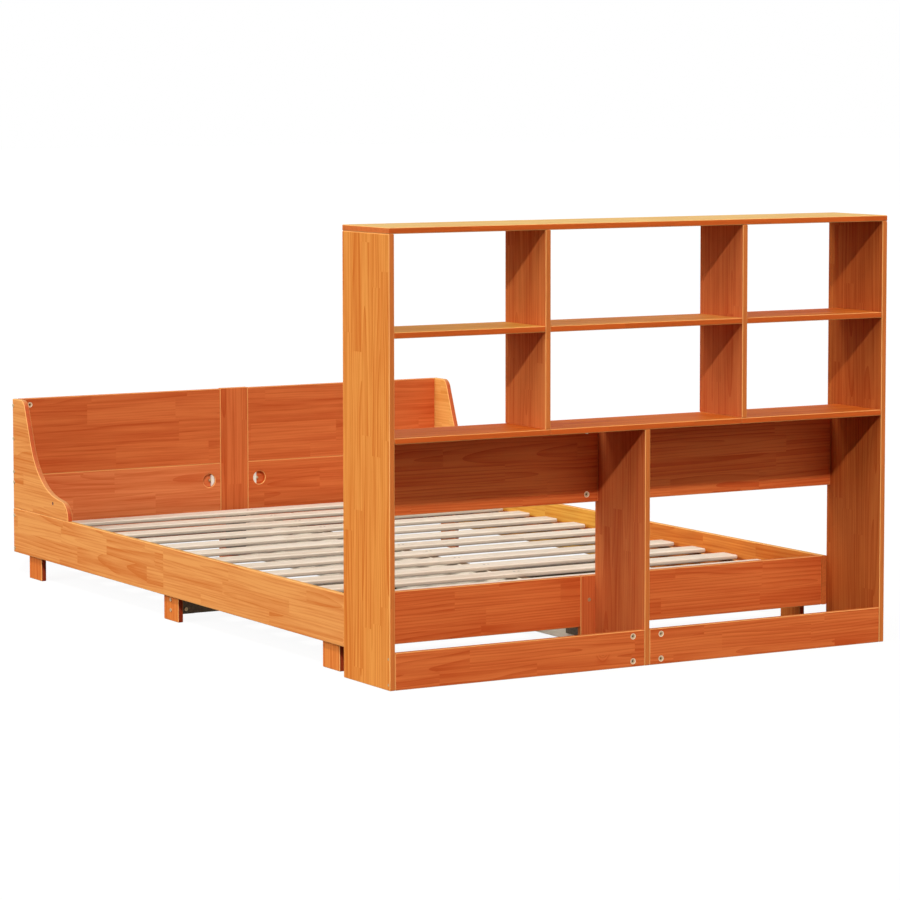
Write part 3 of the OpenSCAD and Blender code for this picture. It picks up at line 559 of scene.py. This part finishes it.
# Slats and centre beam
# Planed pine without stain: the slats have well rounded edges, and the beam under them is in two halves.
# Two screws go through each slat into the beam, in small sunk holes.
BARE = ((0.93, 0.83, 0.70), (0.78, 0.63, 0.48))
BARE_KNOT = (0.30, 0.16, 0.07, 1.0)
# Painted highlight colour for the rounded edges of bare pine
BARE_EDGE_HIGHLIGHT = (0.95, 0.84, 0.70, 1.0)
# Painted shade: the slats' front, back and end faces are coloured darker than their tops
BARE_SIDE_SHADE = (0.78, 0.65, 0.51)
DULL = ((0.96, 0.87, 0.72), (0.85, 0.74, 0.59))
# Painted shade: the beam's top, bottom and end faces are dark brown for the shade under the slats
BEAM_EDGE_SHADE = (0.20, 0.115, 0.055)
SLAT_SCREW_X = 0.0065
SLAT_TOP = 0.160
SLAT_ROUND = 0.0045
SCREW_HOLE = 0.0036
SCREW_SINK = 0.002
WHOLE_WIDTH = 0.2
slat_nodes = sorted(n for n in nodes if n.startswith("slat_"))
pattern = block_like(slat_nodes[0], "slat_pattern", rounding=SLAT_ROUND, segments=4)
for x in (-SLAT_SCREW_X, SLAT_SCREW_X):
    place = (x, middle_of(slat_nodes[0], "Y"), SLAT_TOP)
    bore(pattern, place, "Z", SCREW_HOLE, 2 * SCREW_SINK + FIT_GAP, 24)
for number, node in enumerate(slat_nodes):
    bpy.ops.object.select_all(action="DESELECT")
    pattern.select_set(True)
    bpy.context.view_layer.objects.active = pattern
    bpy.ops.object.duplicate()
    slat = bpy.context.object
    slat.name = node + "_strip"
    slat.location.y = middle_of(node, "Y") - middle_of(slat_nodes[0], "Y")
    wood = pine(node + "_pine", "X", "Y", 40 + number, BARE, BARE_SIDE_SHADE, knots=0.9,
                middle=middle_of(node, "Z"), strip=WHOLE_WIDTH, knot=BARE_KNOT, edge_highlight=BARE_EDGE_HIGHLIGHT)
    finish_piece(slat, wood, "bare_pine", node)
bpy.data.objects.remove(pattern)
NOTCH_WIDTH = 0.1
for node, seed in (("beam_foot", 53), ("beam_head", 54)):
    low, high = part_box(node)
    bar_low, bar_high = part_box("cross_bar")
    beam = block_like(node, node + "_strip")
    notch_y = high.y if node == "beam_foot" else low.y
    bpy.ops.object.select_all(action="DESELECT")
    bpy.ops.mesh.primitive_cube_add(size=1, location=(0, notch_y, bar_low.z))
    notch = bpy.context.object
    notch.scale = (NOTCH_WIDTH, bar_high.y - bar_low.y, 2 * (bar_high.z - bar_low.z))
    bpy.ops.object.transform_apply(location=True, rotation=True, scale=True)
    cut_away(beam, notch)
    wood = pine(node + "_pine", "Y", "Z", seed, DULL, BEAM_EDGE_SHADE, middle=middle_of(node, "X"),
                strip=WHOLE_WIDTH, knot=BARE_KNOT, edge_highlight=BARE_EDGE_HIGHLIGHT)
    finish_piece(beam, wood, "bare_pine", node)


# Steel bar and brackets
# A rectangular steel tube joins the middle legs and carries the beam at mid length.
# Sheet steel shoes on the posts hold the beam's ends, and small angles hold the tube's.
# All of it has a dark grey-brown coating that is a little uneven.
def metal(name, colour, second, metallic, roughness, grain):
    """Metal with a mottled finish: two colours blended by a fine noise, which also varies the gloss."""
    material = bpy.data.materials.new(name)
    material.use_nodes = True
    tree = material.node_tree
    shader = tree.nodes["Principled BSDF"]
    shader.inputs["Metallic"].default_value = metallic
    coordinates = tree.nodes.new("ShaderNodeTexCoord")
    cloud = tree.nodes.new("ShaderNodeTexNoise")
    cloud.inputs["Scale"].default_value = grain
    cloud.inputs["Detail"].default_value = 5.0
    tree.links.new(coordinates.outputs["Object"], cloud.inputs["Vector"])
    ramp = tree.nodes.new("ShaderNodeValToRGB")
    ramp.color_ramp.elements[0].position = 0.35
    ramp.color_ramp.elements[0].color = (*colour, 1.0)
    ramp.color_ramp.elements[1].position = 0.70
    ramp.color_ramp.elements[1].color = (*second, 1.0)
    tree.links.new(cloud.outputs["Fac"], ramp.inputs["Fac"])
    tree.links.new(ramp.outputs["Color"], shader.inputs["Base Color"])
    gloss = tree.nodes.new("ShaderNodeMapRange")
    gloss.inputs["To Min"].default_value = roughness - 0.08
    gloss.inputs["To Max"].default_value = roughness + 0.12
    tree.links.new(cloud.outputs["Fac"], gloss.inputs["Value"])
    tree.links.new(gloss.outputs["Result"], shader.inputs["Roughness"])
    bump = tree.nodes.new("ShaderNodeBump")
    bump.inputs["Strength"].default_value = 0.15
    bump.inputs["Distance"].default_value = 0.0004
    tree.links.new(cloud.outputs["Fac"], bump.inputs["Height"])
    tree.links.new(bump.outputs[0], shader.inputs["Normal"])
    return material


coated = metal("coated_steel", (0.11, 0.075, 0.045), (0.18, 0.13, 0.08), 0.15, 0.50, 160.0)
coated.node_tree.nodes["Principled BSDF"].inputs["Specular IOR Level"].default_value = 0.15
for node in ("cross_bar", "steel_brackets"):
    nodes[node].data.materials.clear()
    nodes[node].data.materials.append(coated)
    bed_pieces.append(nodes[node])


# Cam locks
# Pressed zinc discs in round pockets, each with a raised rim, a dished face and a socket.
# They are turned with a screwdriver to pull the bolt in the next board tight.
lock_metal = metal("lock_zinc", (0.82, 0.64, 0.43), (0.95, 0.79, 0.58), 0.20, 0.45, 300.0)
dish_metal = metal("lock_dish", (0.52, 0.34, 0.17), (0.66, 0.46, 0.25), 0.20, 0.50, 300.0)
# Painted shade: near-black metal for the cam locks' socket floors; the barrel nuts are made of it too
socket_dark = metal("lock_socket", (0.05, 0.035, 0.03), (0.09, 0.07, 0.06), 0.2, 0.6, 300.0)
LOCK_RADIUS = 0.0075
LOCK_LENGTH = 0.0118
LOCK_RIM = 0.0011
RIM_SLOPE = 0.0006
DISH_WIDTH = 0.0027
DISH_DEPTH = 0.0002
SOCKET_DEPTH = 0.0028
BACK_FACE = CASE_BACK - BOARD


def press_in(thickness, depth=0.0):
    """Insets the selected face, and sinks it by a depth."""
    bpy.ops.mesh.inset(thickness=thickness, depth=-depth)


def copies(pattern, name, placements):
    """Copies a pattern to each place and turn, each with its own mesh, and joins the copies in one piece."""
    made = []
    for place, turn in placements:
        bpy.ops.object.select_all(action="DESELECT")
        pattern.select_set(True)
        bpy.context.view_layer.objects.active = pattern
        bpy.ops.object.duplicate()
        copy = bpy.context.object
        copy.location = place
        copy.rotation_euler = turn
        made.append(copy)
    bpy.data.objects.remove(pattern)
    bpy.ops.object.select_all(action="DESELECT")
    for copy in made:
        copy.select_set(True)
    bpy.context.view_layer.objects.active = made[0]
    bpy.ops.object.transform_apply(location=True, rotation=True, scale=True)
    bpy.ops.object.join()
    bpy.context.object.name = name
    return bpy.context.object


bpy.ops.object.select_all(action="DESELECT")
bpy.ops.mesh.primitive_cylinder_add(
    vertices=32, radius=LOCK_RADIUS, depth=LOCK_LENGTH,
    location=(0, FIT_GAP + LOCK_LENGTH / 2, 0), rotation=TURNS["Y"])
lock = bpy.context.object
bpy.ops.object.transform_apply(location=True, rotation=True, scale=True)
for part in (lock_metal, dish_metal, socket_dark):
    lock.data.materials.append(part)
select_end(lock, Vector((0, -1, 0)))
press_in(LOCK_RIM)
press_in(RIM_SLOPE, RIM_SLOPE)
lock.active_material_index = 1
bpy.ops.object.material_slot_assign()
press_in(DISH_WIDTH, DISH_DEPTH)
press_in(DISH_DEPTH, SOCKET_DEPTH)
# The socket floor takes the near-black metal as painted shade
lock.active_material_index = 2
bpy.ops.object.material_slot_assign()
bpy.ops.object.mode_set(mode="OBJECT")
lock_places += [(Vector((s * LOCK_X, CASE_FRONT, z)), False) for s in (-1, 1) for z in KICK_LOCKS]
lock_places += [(Vector((s * LOCK_X, BACK_FACE, z)), False) for s in (-1, 1) for z in BACK_LOCKS]
lock_places = [(place, (0, 0, math.pi if back else 0)) for place, back in lock_places]
cam_discs = copies(lock, "cam_discs", lock_places)
finish_piece(cam_discs, None, "zinc", "cam_locks")


# Bolts
# Zinc-plated bolts with flat round heads and hex sockets hold the headboard, the middle legs and the bar.
# Those in the posts are sunk, and two with half-moon washers tie the lower headboard boards to the post.
# Plain rods run from lock to lock, through the side panels into the kick boards, and to the barrel nuts.
zinc = metal("zinc_plate", (0.42, 0.29, 0.14), (0.68, 0.50, 0.27), 0.50, 0.42, 420.0)
washer_metal = metal("washer_zinc", (0.80, 0.74, 0.65), (0.90, 0.85, 0.77), 0.25, 0.40, 300.0)
SHANK_RADIUS = 0.003
HEAD_RADIUS = 0.005
HEAD_HEIGHT = 0.002
HEX_RADIUS = 0.0023
SMALL_BEVEL = 0.0006


def make_bolt(length, radius=HEAD_RADIUS, height=HEAD_HEIGHT):
    """A bolt whose shank runs up from the floor plane, with its head below it."""
    bpy.ops.object.select_all(action="DESELECT")
    bpy.ops.mesh.primitive_cylinder_add(
        vertices=32, radius=radius, depth=height, location=(0, 0, -height / 2))
    head = bpy.context.object
    bpy.ops.object.transform_apply(location=True, rotation=True, scale=True)
    select_end(head, Vector((0, 0, -1)))
    bpy.ops.mesh.bevel(offset=SMALL_BEVEL, segments=2, affect="EDGES")
    bpy.ops.object.mode_set(mode="OBJECT")
    bore(head, (0, 0, -height), "Z", HEX_RADIUS, height, 6)
    select_end(head, Vector((0, 0, 1)))
    press_in(radius - SHANK_RADIUS)
    bpy.ops.mesh.extrude_region_move(TRANSFORM_OT_translate={"value": (0, 0, length)})
    bpy.ops.mesh.bevel(offset=SMALL_BEVEL, segments=1, affect="EDGES")
    bpy.ops.object.mode_set(mode="OBJECT")
    head.data.materials.append(zinc)
    return head


SIDEWAYS = {-1: (0, math.pi / 2, 0), 1: (0, -math.pi / 2, 0)}
RAIL_OUT = 0.715
RAIL_IN = 0.700
LEG_BOLTS = (0.029, 0.057)
MIDDLE_LEG = 0.115
BAR_BOLT = (0.664, 0.0975, 0.031)
HEAD_SHANK = 0.0414
LEG_SHANK = 0.0175
BAR_SHANK = 0.0045
POST_SHANK = 0.0155
TIE_SHANK = 0.0526
TIE_HEAD = (0.00425, 0.006)
bolts = []
places = [(Vector((s * RAIL_OUT, HEAD_MIDDLE, z)), SIDEWAYS[s]) for s in (-1, 1) for z in HEAD_HEIGHTS]
bolts.append(copies(make_bolt(HEAD_SHANK), "head_bolts", places))
places = [(Vector((s * RAIL_IN, MIDDLE_LEG, z)), SIDEWAYS[s]) for s in (-1, 1) for z in LEG_BOLTS]
bolts.append(copies(make_bolt(LEG_SHANK), "leg_bolts", places))
to_head = (-math.pi / 2, 0, 0)
to_foot = (math.pi / 2, 0, 0)
places = [(Vector((s * BAR_BOLT[0], BAR_BOLT[1], BAR_BOLT[2])), to_head) for s in (-1, 1)]
bolts.append(copies(make_bolt(BAR_SHANK), "bar_bolts", places))
places = [(Vector((s * POST_BOLT[0], CASE_BACK + HEAD_HEIGHT, POST_BOLT[1])), to_head) for s in (-1, 1)]
places += [(Vector((s * POST_BOLT[0], HEAD_BACK - HEAD_HEIGHT, POST_BOLT[1])), to_foot) for s in (-1, 1)]
bolts.append(copies(make_bolt(POST_SHANK), "post_bolts", places))
WASHER_FACE = 0.0765
tie_x = WASHER_FACE + FIT_GAP
places = [(Vector((s * tie_x, HEAD_MIDDLE, TIE_PLACE[1])), SIDEWAYS[s]) for s in (-1, 1)]
bolts.append(copies(make_bolt(TIE_SHANK, *TIE_HEAD), "tie_bolts", places))
ROD_OUTER = 0.681
ROD_INNER = 0.0339
ROD_FOOT = 0.159
WING_MIDDLE = 0.7075
kick_y = CASE_FRONT + BOARD / 2
rods = [("X", s * ROD_OUTER, s * HALF_WIDTH, kick_y, z) for s in (-1, 1) for z in KICK_LOCKS]
rods += [("X", -ROD_INNER, ROD_INNER, kick_y, z) for z in KICK_LOCKS]
rods += [("X", -ROD_INNER, ROD_INNER, CASE_BACK - BOARD / 2, z) for z in BACK_LOCKS]
rods += [("Z", ROD_FOOT, NUT_PLACE[1], s * WING_MIDDLE, NUT_PLACE[0]) for s in (-1, 1)]
for axis, start, end, first, second in rods:
    centre = ((start + end) / 2, first, second) if axis == "X" else (first, second, (start + end) / 2)
    bpy.ops.object.select_all(action="DESELECT")
    bpy.ops.mesh.primitive_cylinder_add(
        vertices=24, radius=SHANK_RADIUS, depth=abs(end - start), location=centre, rotation=TURNS[axis])
    rod = bpy.context.object
    bpy.ops.object.transform_apply(location=True, rotation=True, scale=True)
    bpy.ops.object.mode_set(mode="EDIT")
    bpy.ops.mesh.select_all(action="SELECT")
    bpy.ops.mesh.normals_make_consistent(inside=False)
    bpy.ops.object.mode_set(mode="OBJECT")
    rod.data.materials.append(zinc)
    bolts.append(rod)
NUT_RIM = 0.0008
NUT_SLOPE = 0.0002
NUT_WALL = 0.0018
NUT_SOCKET = 0.0010
WASHER_MIDDLE = 1.1327
WASHER_THICK = 0.0084
WASHER_ROUND = 0.0007
WASHER_CUT = 0.1
for side in (-1, 1):
    bpy.ops.object.select_all(action="DESELECT")
    nut_x = side * (RAIL_OUT - NUT_COVER - NUT_LENGTH / 2)
    bpy.ops.mesh.primitive_cylinder_add(
        vertices=32, radius=NUT_RADIUS, depth=NUT_LENGTH, location=(nut_x, *NUT_PLACE), rotation=TURNS["X"])
    nut = bpy.context.object
    bpy.ops.object.transform_apply(location=True, rotation=True, scale=True)
    select_end(nut, Vector((side, 0, 0)))
    press_in(NUT_RIM, NUT_SLOPE)
    press_in(NUT_WALL, NUT_SOCKET)
    bpy.ops.object.mode_set(mode="OBJECT")
    nut.data.materials.append(socket_dark)
    bolts.append(nut)
    bpy.ops.object.select_all(action="DESELECT")
    bpy.ops.mesh.primitive_cylinder_add(
        vertices=64, radius=TIE_RADIUS - FIT_GAP, depth=WASHER_THICK,
        location=(side * TIE_PLACE[0], WASHER_MIDDLE, TIE_PLACE[1]), rotation=TURNS["Y"])
    washer = bpy.context.object
    bpy.ops.object.transform_apply(location=True, rotation=True, scale=True)
    bpy.ops.object.select_all(action="DESELECT")
    bpy.ops.mesh.primitive_cube_add(
        size=WASHER_CUT, location=(side * (WASHER_FACE + WASHER_CUT / 2), WASHER_MIDDLE, TIE_PLACE[1]))
    cut_away(washer, bpy.context.object)
    soft = washer.modifiers.new("soft", "BEVEL")
    soft.width = WASHER_ROUND
    soft.segments = 2
    soft.limit_method = "ANGLE"
    bpy.ops.object.select_all(action="DESELECT")
    bpy.context.view_layer.objects.active = washer
    bpy.ops.object.modifier_apply(modifier=soft.name)
    washer.data.materials.append(washer_metal)
    bolts.append(washer)
bpy.ops.object.select_all(action="DESELECT")
for bolt in bolts:
    bolt.select_set(True)
bpy.context.view_layer.objects.active = bolts[0]
bpy.ops.object.join()
bolt_set = bpy.context.object
bolt_set.name = "bolt_set"
finish_piece(bolt_set, None, "zinc", "bolts")


# Wood screws
# Countersunk screws with cross recesses hold the slats to the beam, and the legs and ledges to the rails.
# Their plating is darker than that of the bolts.
screw_metal = metal("screw_steel", (0.20, 0.15, 0.11), (0.34, 0.28, 0.22), 0.7, 0.42, 600.0)
SCREW_RADIUS = 0.002
SCREW_HEAD = 0.0035
HEAD_RIM = 0.0004
SCREW_POINT = 0.003
POINT_SHARE = 0.2
CROSS_LENGTH = 0.0036
CROSS_WIDTH = 0.0009
CROSS_DEPTH = 0.0024


def make_screw(length):
    """A countersunk screw whose head is flush with the floor plane and whose shank goes down."""
    bpy.ops.object.select_all(action="DESELECT")
    bpy.ops.mesh.primitive_cylinder_add(
        vertices=20, radius=SCREW_HEAD, depth=HEAD_RIM, location=(0, 0, -HEAD_RIM / 2))
    screw = bpy.context.object
    bpy.ops.object.transform_apply(location=True, rotation=True, scale=True)
    select_end(screw, Vector((0, 0, -1)))
    bpy.ops.mesh.extrude_region_move(TRANSFORM_OT_translate={"value": (0, 0, HEAD_RIM - SCREW_SINK)})
    narrow = SCREW_RADIUS / SCREW_HEAD
    bpy.ops.transform.resize(value=(narrow, narrow, 1))
    plain = length - SCREW_SINK - SCREW_POINT
    bpy.ops.mesh.extrude_region_move(TRANSFORM_OT_translate={"value": (0, 0, -plain)})
    bpy.ops.mesh.extrude_region_move(TRANSFORM_OT_translate={"value": (0, 0, -SCREW_POINT)})
    bpy.ops.transform.resize(value=(POINT_SHARE, POINT_SHARE, 1))
    bpy.ops.object.mode_set(mode="OBJECT")
    for width, breadth in ((CROSS_LENGTH, CROSS_WIDTH), (CROSS_WIDTH, CROSS_LENGTH)):
        bpy.ops.object.select_all(action="DESELECT")
        bpy.ops.mesh.primitive_cube_add(size=1, location=(0, 0, 0))
        slot = bpy.context.object
        slot.scale = (width, breadth, CROSS_DEPTH)
        bpy.ops.object.transform_apply(location=True, rotation=True, scale=True)
        cut_away(screw, slot)
    screw.data.materials.append(screw_metal)
    return screw


LEG_SCREWS = (0.083, 0.103)
LEG_INNER = 0.685
LEDGE_INNER = 0.670
LEDGE_SCREW_Z = 0.133
LEDGE_SCREW_Y = (-0.785, 1.015)
LEG_ROWS = (-0.790, MIDDLE_LEG, 1.020)
LEG_SCREW_Y = 0.025
LONG_SCREW = 0.040
SHORT_SCREW = 0.025
places = [(Vector((x, middle_of(node, "Y"), SLAT_TOP)), (0, 0, 0))
          for node in slat_nodes for x in (-SLAT_SCREW_X, SLAT_SCREW_X)]
screws = [copies(make_screw(LONG_SCREW), "slat_screws", places)]
places = [(Vector((s * LEG_INNER, y + d, z)), SIDEWAYS[s])
          for s in (-1, 1) for y in LEG_ROWS for d in (-LEG_SCREW_Y, LEG_SCREW_Y) for z in LEG_SCREWS]
screws.append(copies(make_screw(SHORT_SCREW), "leg_screws", places))
first_y, last_y = LEDGE_SCREW_Y
places = [(Vector((s * LEDGE_INNER, first_y + (last_y - first_y) * step / 4, LEDGE_SCREW_Z)), SIDEWAYS[s])
          for s in (-1, 1) for step in range(5)]
screws.append(copies(make_screw(LONG_SCREW), "ledge_screws", places))
bpy.ops.object.select_all(action="DESELECT")
for screw in screws:
    screw.select_set(True)
bpy.context.view_layer.objects.active = screws[0]
bpy.ops.object.join()
screw_set = bpy.context.object
screw_set.name = "screw_set"
finish_piece(screw_set, None, "zinc", "wood_screws")


# Dowels
# Beech pins, 8 mm thick, are glued into bored holes in the board ends at every joint.
# They are out of sight while the frame is together.
BEECH = ((0.78, 0.60, 0.40), (0.66, 0.46, 0.28))
dowel_wood = pine("dowel_beech", "X", "Y", 60, BEECH, BARE_SIDE_SHADE,
                  strip=WHOLE_WIDTH, knot=BARE_KNOT, edge_highlight=BARE_EDGE_HIGHLIGHT)
nodes["dowels"].data.materials.clear()
nodes["dowels"].data.materials.append(dowel_wood)
bed_pieces.append(nodes["dowels"])


# Floor
# A plain pale floor for the frame to stand on, with the frame's soft shadow on it.
# The camera sees it as near white, and it throws little light back onto the wood.
bpy.ops.object.select_all(action="DESELECT")
bpy.ops.mesh.primitive_plane_add(size=120, location=(0, 0, 0))
floor = bpy.context.object
floor.name = "floor"
FLOOR_BOUNCE = (0.10, 0.10, 0.10, 1.0)
FLOOR_SEEN = (0.75, 0.75, 0.75, 1.0)
FLOOR_SHARE = 0.86
FLOOR_GLOW = 1.08


def seen_directly(tree):
    """One for camera, glossy and transmission rays, and nothing for the rays that carry diffuse light."""
    path = tree.nodes.new("ShaderNodeLightPath")
    either = tree.nodes.new("ShaderNodeMath")
    either.operation = "MAXIMUM"
    tree.links.new(path.outputs["Is Camera Ray"], either.inputs[0])
    tree.links.new(path.outputs["Is Glossy Ray"], either.inputs[1])
    whole = tree.nodes.new("ShaderNodeMath")
    whole.operation = "MAXIMUM"
    tree.links.new(either.outputs[0], whole.inputs[0])
    tree.links.new(path.outputs["Is Transmission Ray"], whole.inputs[1])
    return whole.outputs[0]


pale = bpy.data.materials.new("floor_white")
pale.use_nodes = True
tree = pale.node_tree
tree.nodes.clear()
direct = seen_directly(tree)
share = tree.nodes.new("ShaderNodeMath")
share.operation = "MULTIPLY"
share.inputs[1].default_value = FLOOR_SHARE
tree.links.new(direct, share.inputs[0])
matt = tree.nodes.new("ShaderNodeBsdfDiffuse")
tone = tree.nodes.new("ShaderNodeMix")
tone.data_type = "RGBA"
tone.inputs[6].default_value = FLOOR_BOUNCE
tone.inputs[7].default_value = FLOOR_SEEN
tree.links.new(direct, tone.inputs["Factor"])
tree.links.new(tone.outputs[2], matt.inputs["Color"])
glow = tree.nodes.new("ShaderNodeEmission")
glow.inputs["Color"].default_value = (1.0, 1.0, 1.0, 1.0)
glow.inputs["Strength"].default_value = FLOOR_GLOW
mix = tree.nodes.new("ShaderNodeMixShader")
tree.links.new(share.outputs[0], mix.inputs["Fac"])
tree.links.new(matt.outputs[0], mix.inputs[1])
tree.links.new(glow.outputs[0], mix.inputs[2])
tree.links.new(mix.outputs[0], tree.nodes.new("ShaderNodeOutputMaterial").inputs[0])
floor.data.materials.append(pale)


# Light
# A key light from over the viewer's left shoulder, and four broad soft ones: left, back left, front, above.
# The key is two lamps side by side, one for the bookcase and one for the bed, so neither shades the other.
# The room adds a faint even light, and the camera sees it as white.
def sun(name, travel, strength, spread, colour):
    """A distant lamp whose light travels in one direction."""
    lamp = bpy.data.lights.new(name, "SUN")
    lamp.energy = strength
    lamp.angle = math.radians(spread)
    lamp.color = colour
    holder = bpy.data.objects.new(name, lamp)
    bpy.context.scene.collection.objects.link(holder)
    holder.rotation_mode = "QUATERNION"
    holder.rotation_quaternion = Vector(travel).to_track_quat("-Z", "Y")
    return holder


KEY_TRAVEL = (0.54, 1.0, -0.83)
KEY_STRENGTH = 1.82
ROOM_STRENGTH = 0.08
for name, group in (("bookcase", bookcase_pieces + [floor]), ("bed", bed_pieces)):
    lit = bpy.data.collections.new(name + "_lit")
    for piece in group:
        lit.objects.link(piece)
    lamp = sun(name + "_key", KEY_TRAVEL, KEY_STRENGTH, 2.5, (1.0, 0.98, 0.95))
    lamp.light_linking.receiver_collection = lit
    if name == "bed":
        lamp.light_linking.blocker_collection = lit
sun("left_wash", (1.0, 0.02, -0.50), 1.70, 30.0, (1.0, 0.98, 0.94))
sun("back_left_fill", (1.0, -0.50, -0.32), 0.62, 60.0, (1.0, 0.98, 0.96))
sun("front_fill", (-0.35, 1.0, -0.16), 0.95, 46.0, (1.0, 0.98, 0.95))
sun("overhead_fill", (0.0, -0.15, -1.0), 0.50, 110.0, (1.0, 0.99, 0.97))
room = bpy.data.worlds.new("room")
bpy.context.scene.world = room
room.use_nodes = True
tree = room.node_tree
tree.nodes.clear()
ambient = tree.nodes.new("ShaderNodeBackground")
ambient.inputs["Color"].default_value = (1.0, 1.0, 1.0, 1.0)
ambient.inputs["Strength"].default_value = ROOM_STRENGTH
white = tree.nodes.new("ShaderNodeBackground")
white.inputs["Color"].default_value = (1.0, 1.0, 1.0, 1.0)
white.inputs["Strength"].default_value = 1.0
mix = tree.nodes.new("ShaderNodeMixShader")
tree.links.new(seen_directly(tree), mix.inputs["Fac"])
tree.links.new(ambient.outputs[0], mix.inputs[1])
tree.links.new(white.outputs[0], mix.inputs[2])
tree.links.new(mix.outputs[0], tree.nodes.new("ShaderNodeOutputWorld").inputs[0])


# Camera
# It stands 8 m off the bookcase's left front corner, at 1.45 m, and looks slightly down.
# A long lens and a small shift of the picture give the photo's view.
FOCAL_PIXELS = 3516.5
PICTURE_WIDTH = 900
YAW = math.radians(-30.217)
PITCH = math.radians(-4.852)
ROLL = math.radians(-0.061)
STANDPOINT = (-4.7578, -8.3406, 1.4465)
PICTURE_SHIFT = -0.08
camera = bpy.data.cameras.new("camera")
camera.sensor_width = 36.0
camera.lens = FOCAL_PIXELS / PICTURE_WIDTH * camera.sensor_width
camera.shift_y = PICTURE_SHIFT
camera.clip_end = 200.0
viewer = bpy.data.objects.new("camera", camera)
bpy.context.scene.collection.objects.link(viewer)
viewer.location = STANDPOINT
viewer.rotation_mode = "QUATERNION"
aim = Euler((math.pi / 2 + PITCH, 0, YAW), "XYZ").to_quaternion()
viewer.rotation_quaternion = aim @ Quaternion((0, 0, 1), ROLL)
bpy.context.scene.camera = viewer
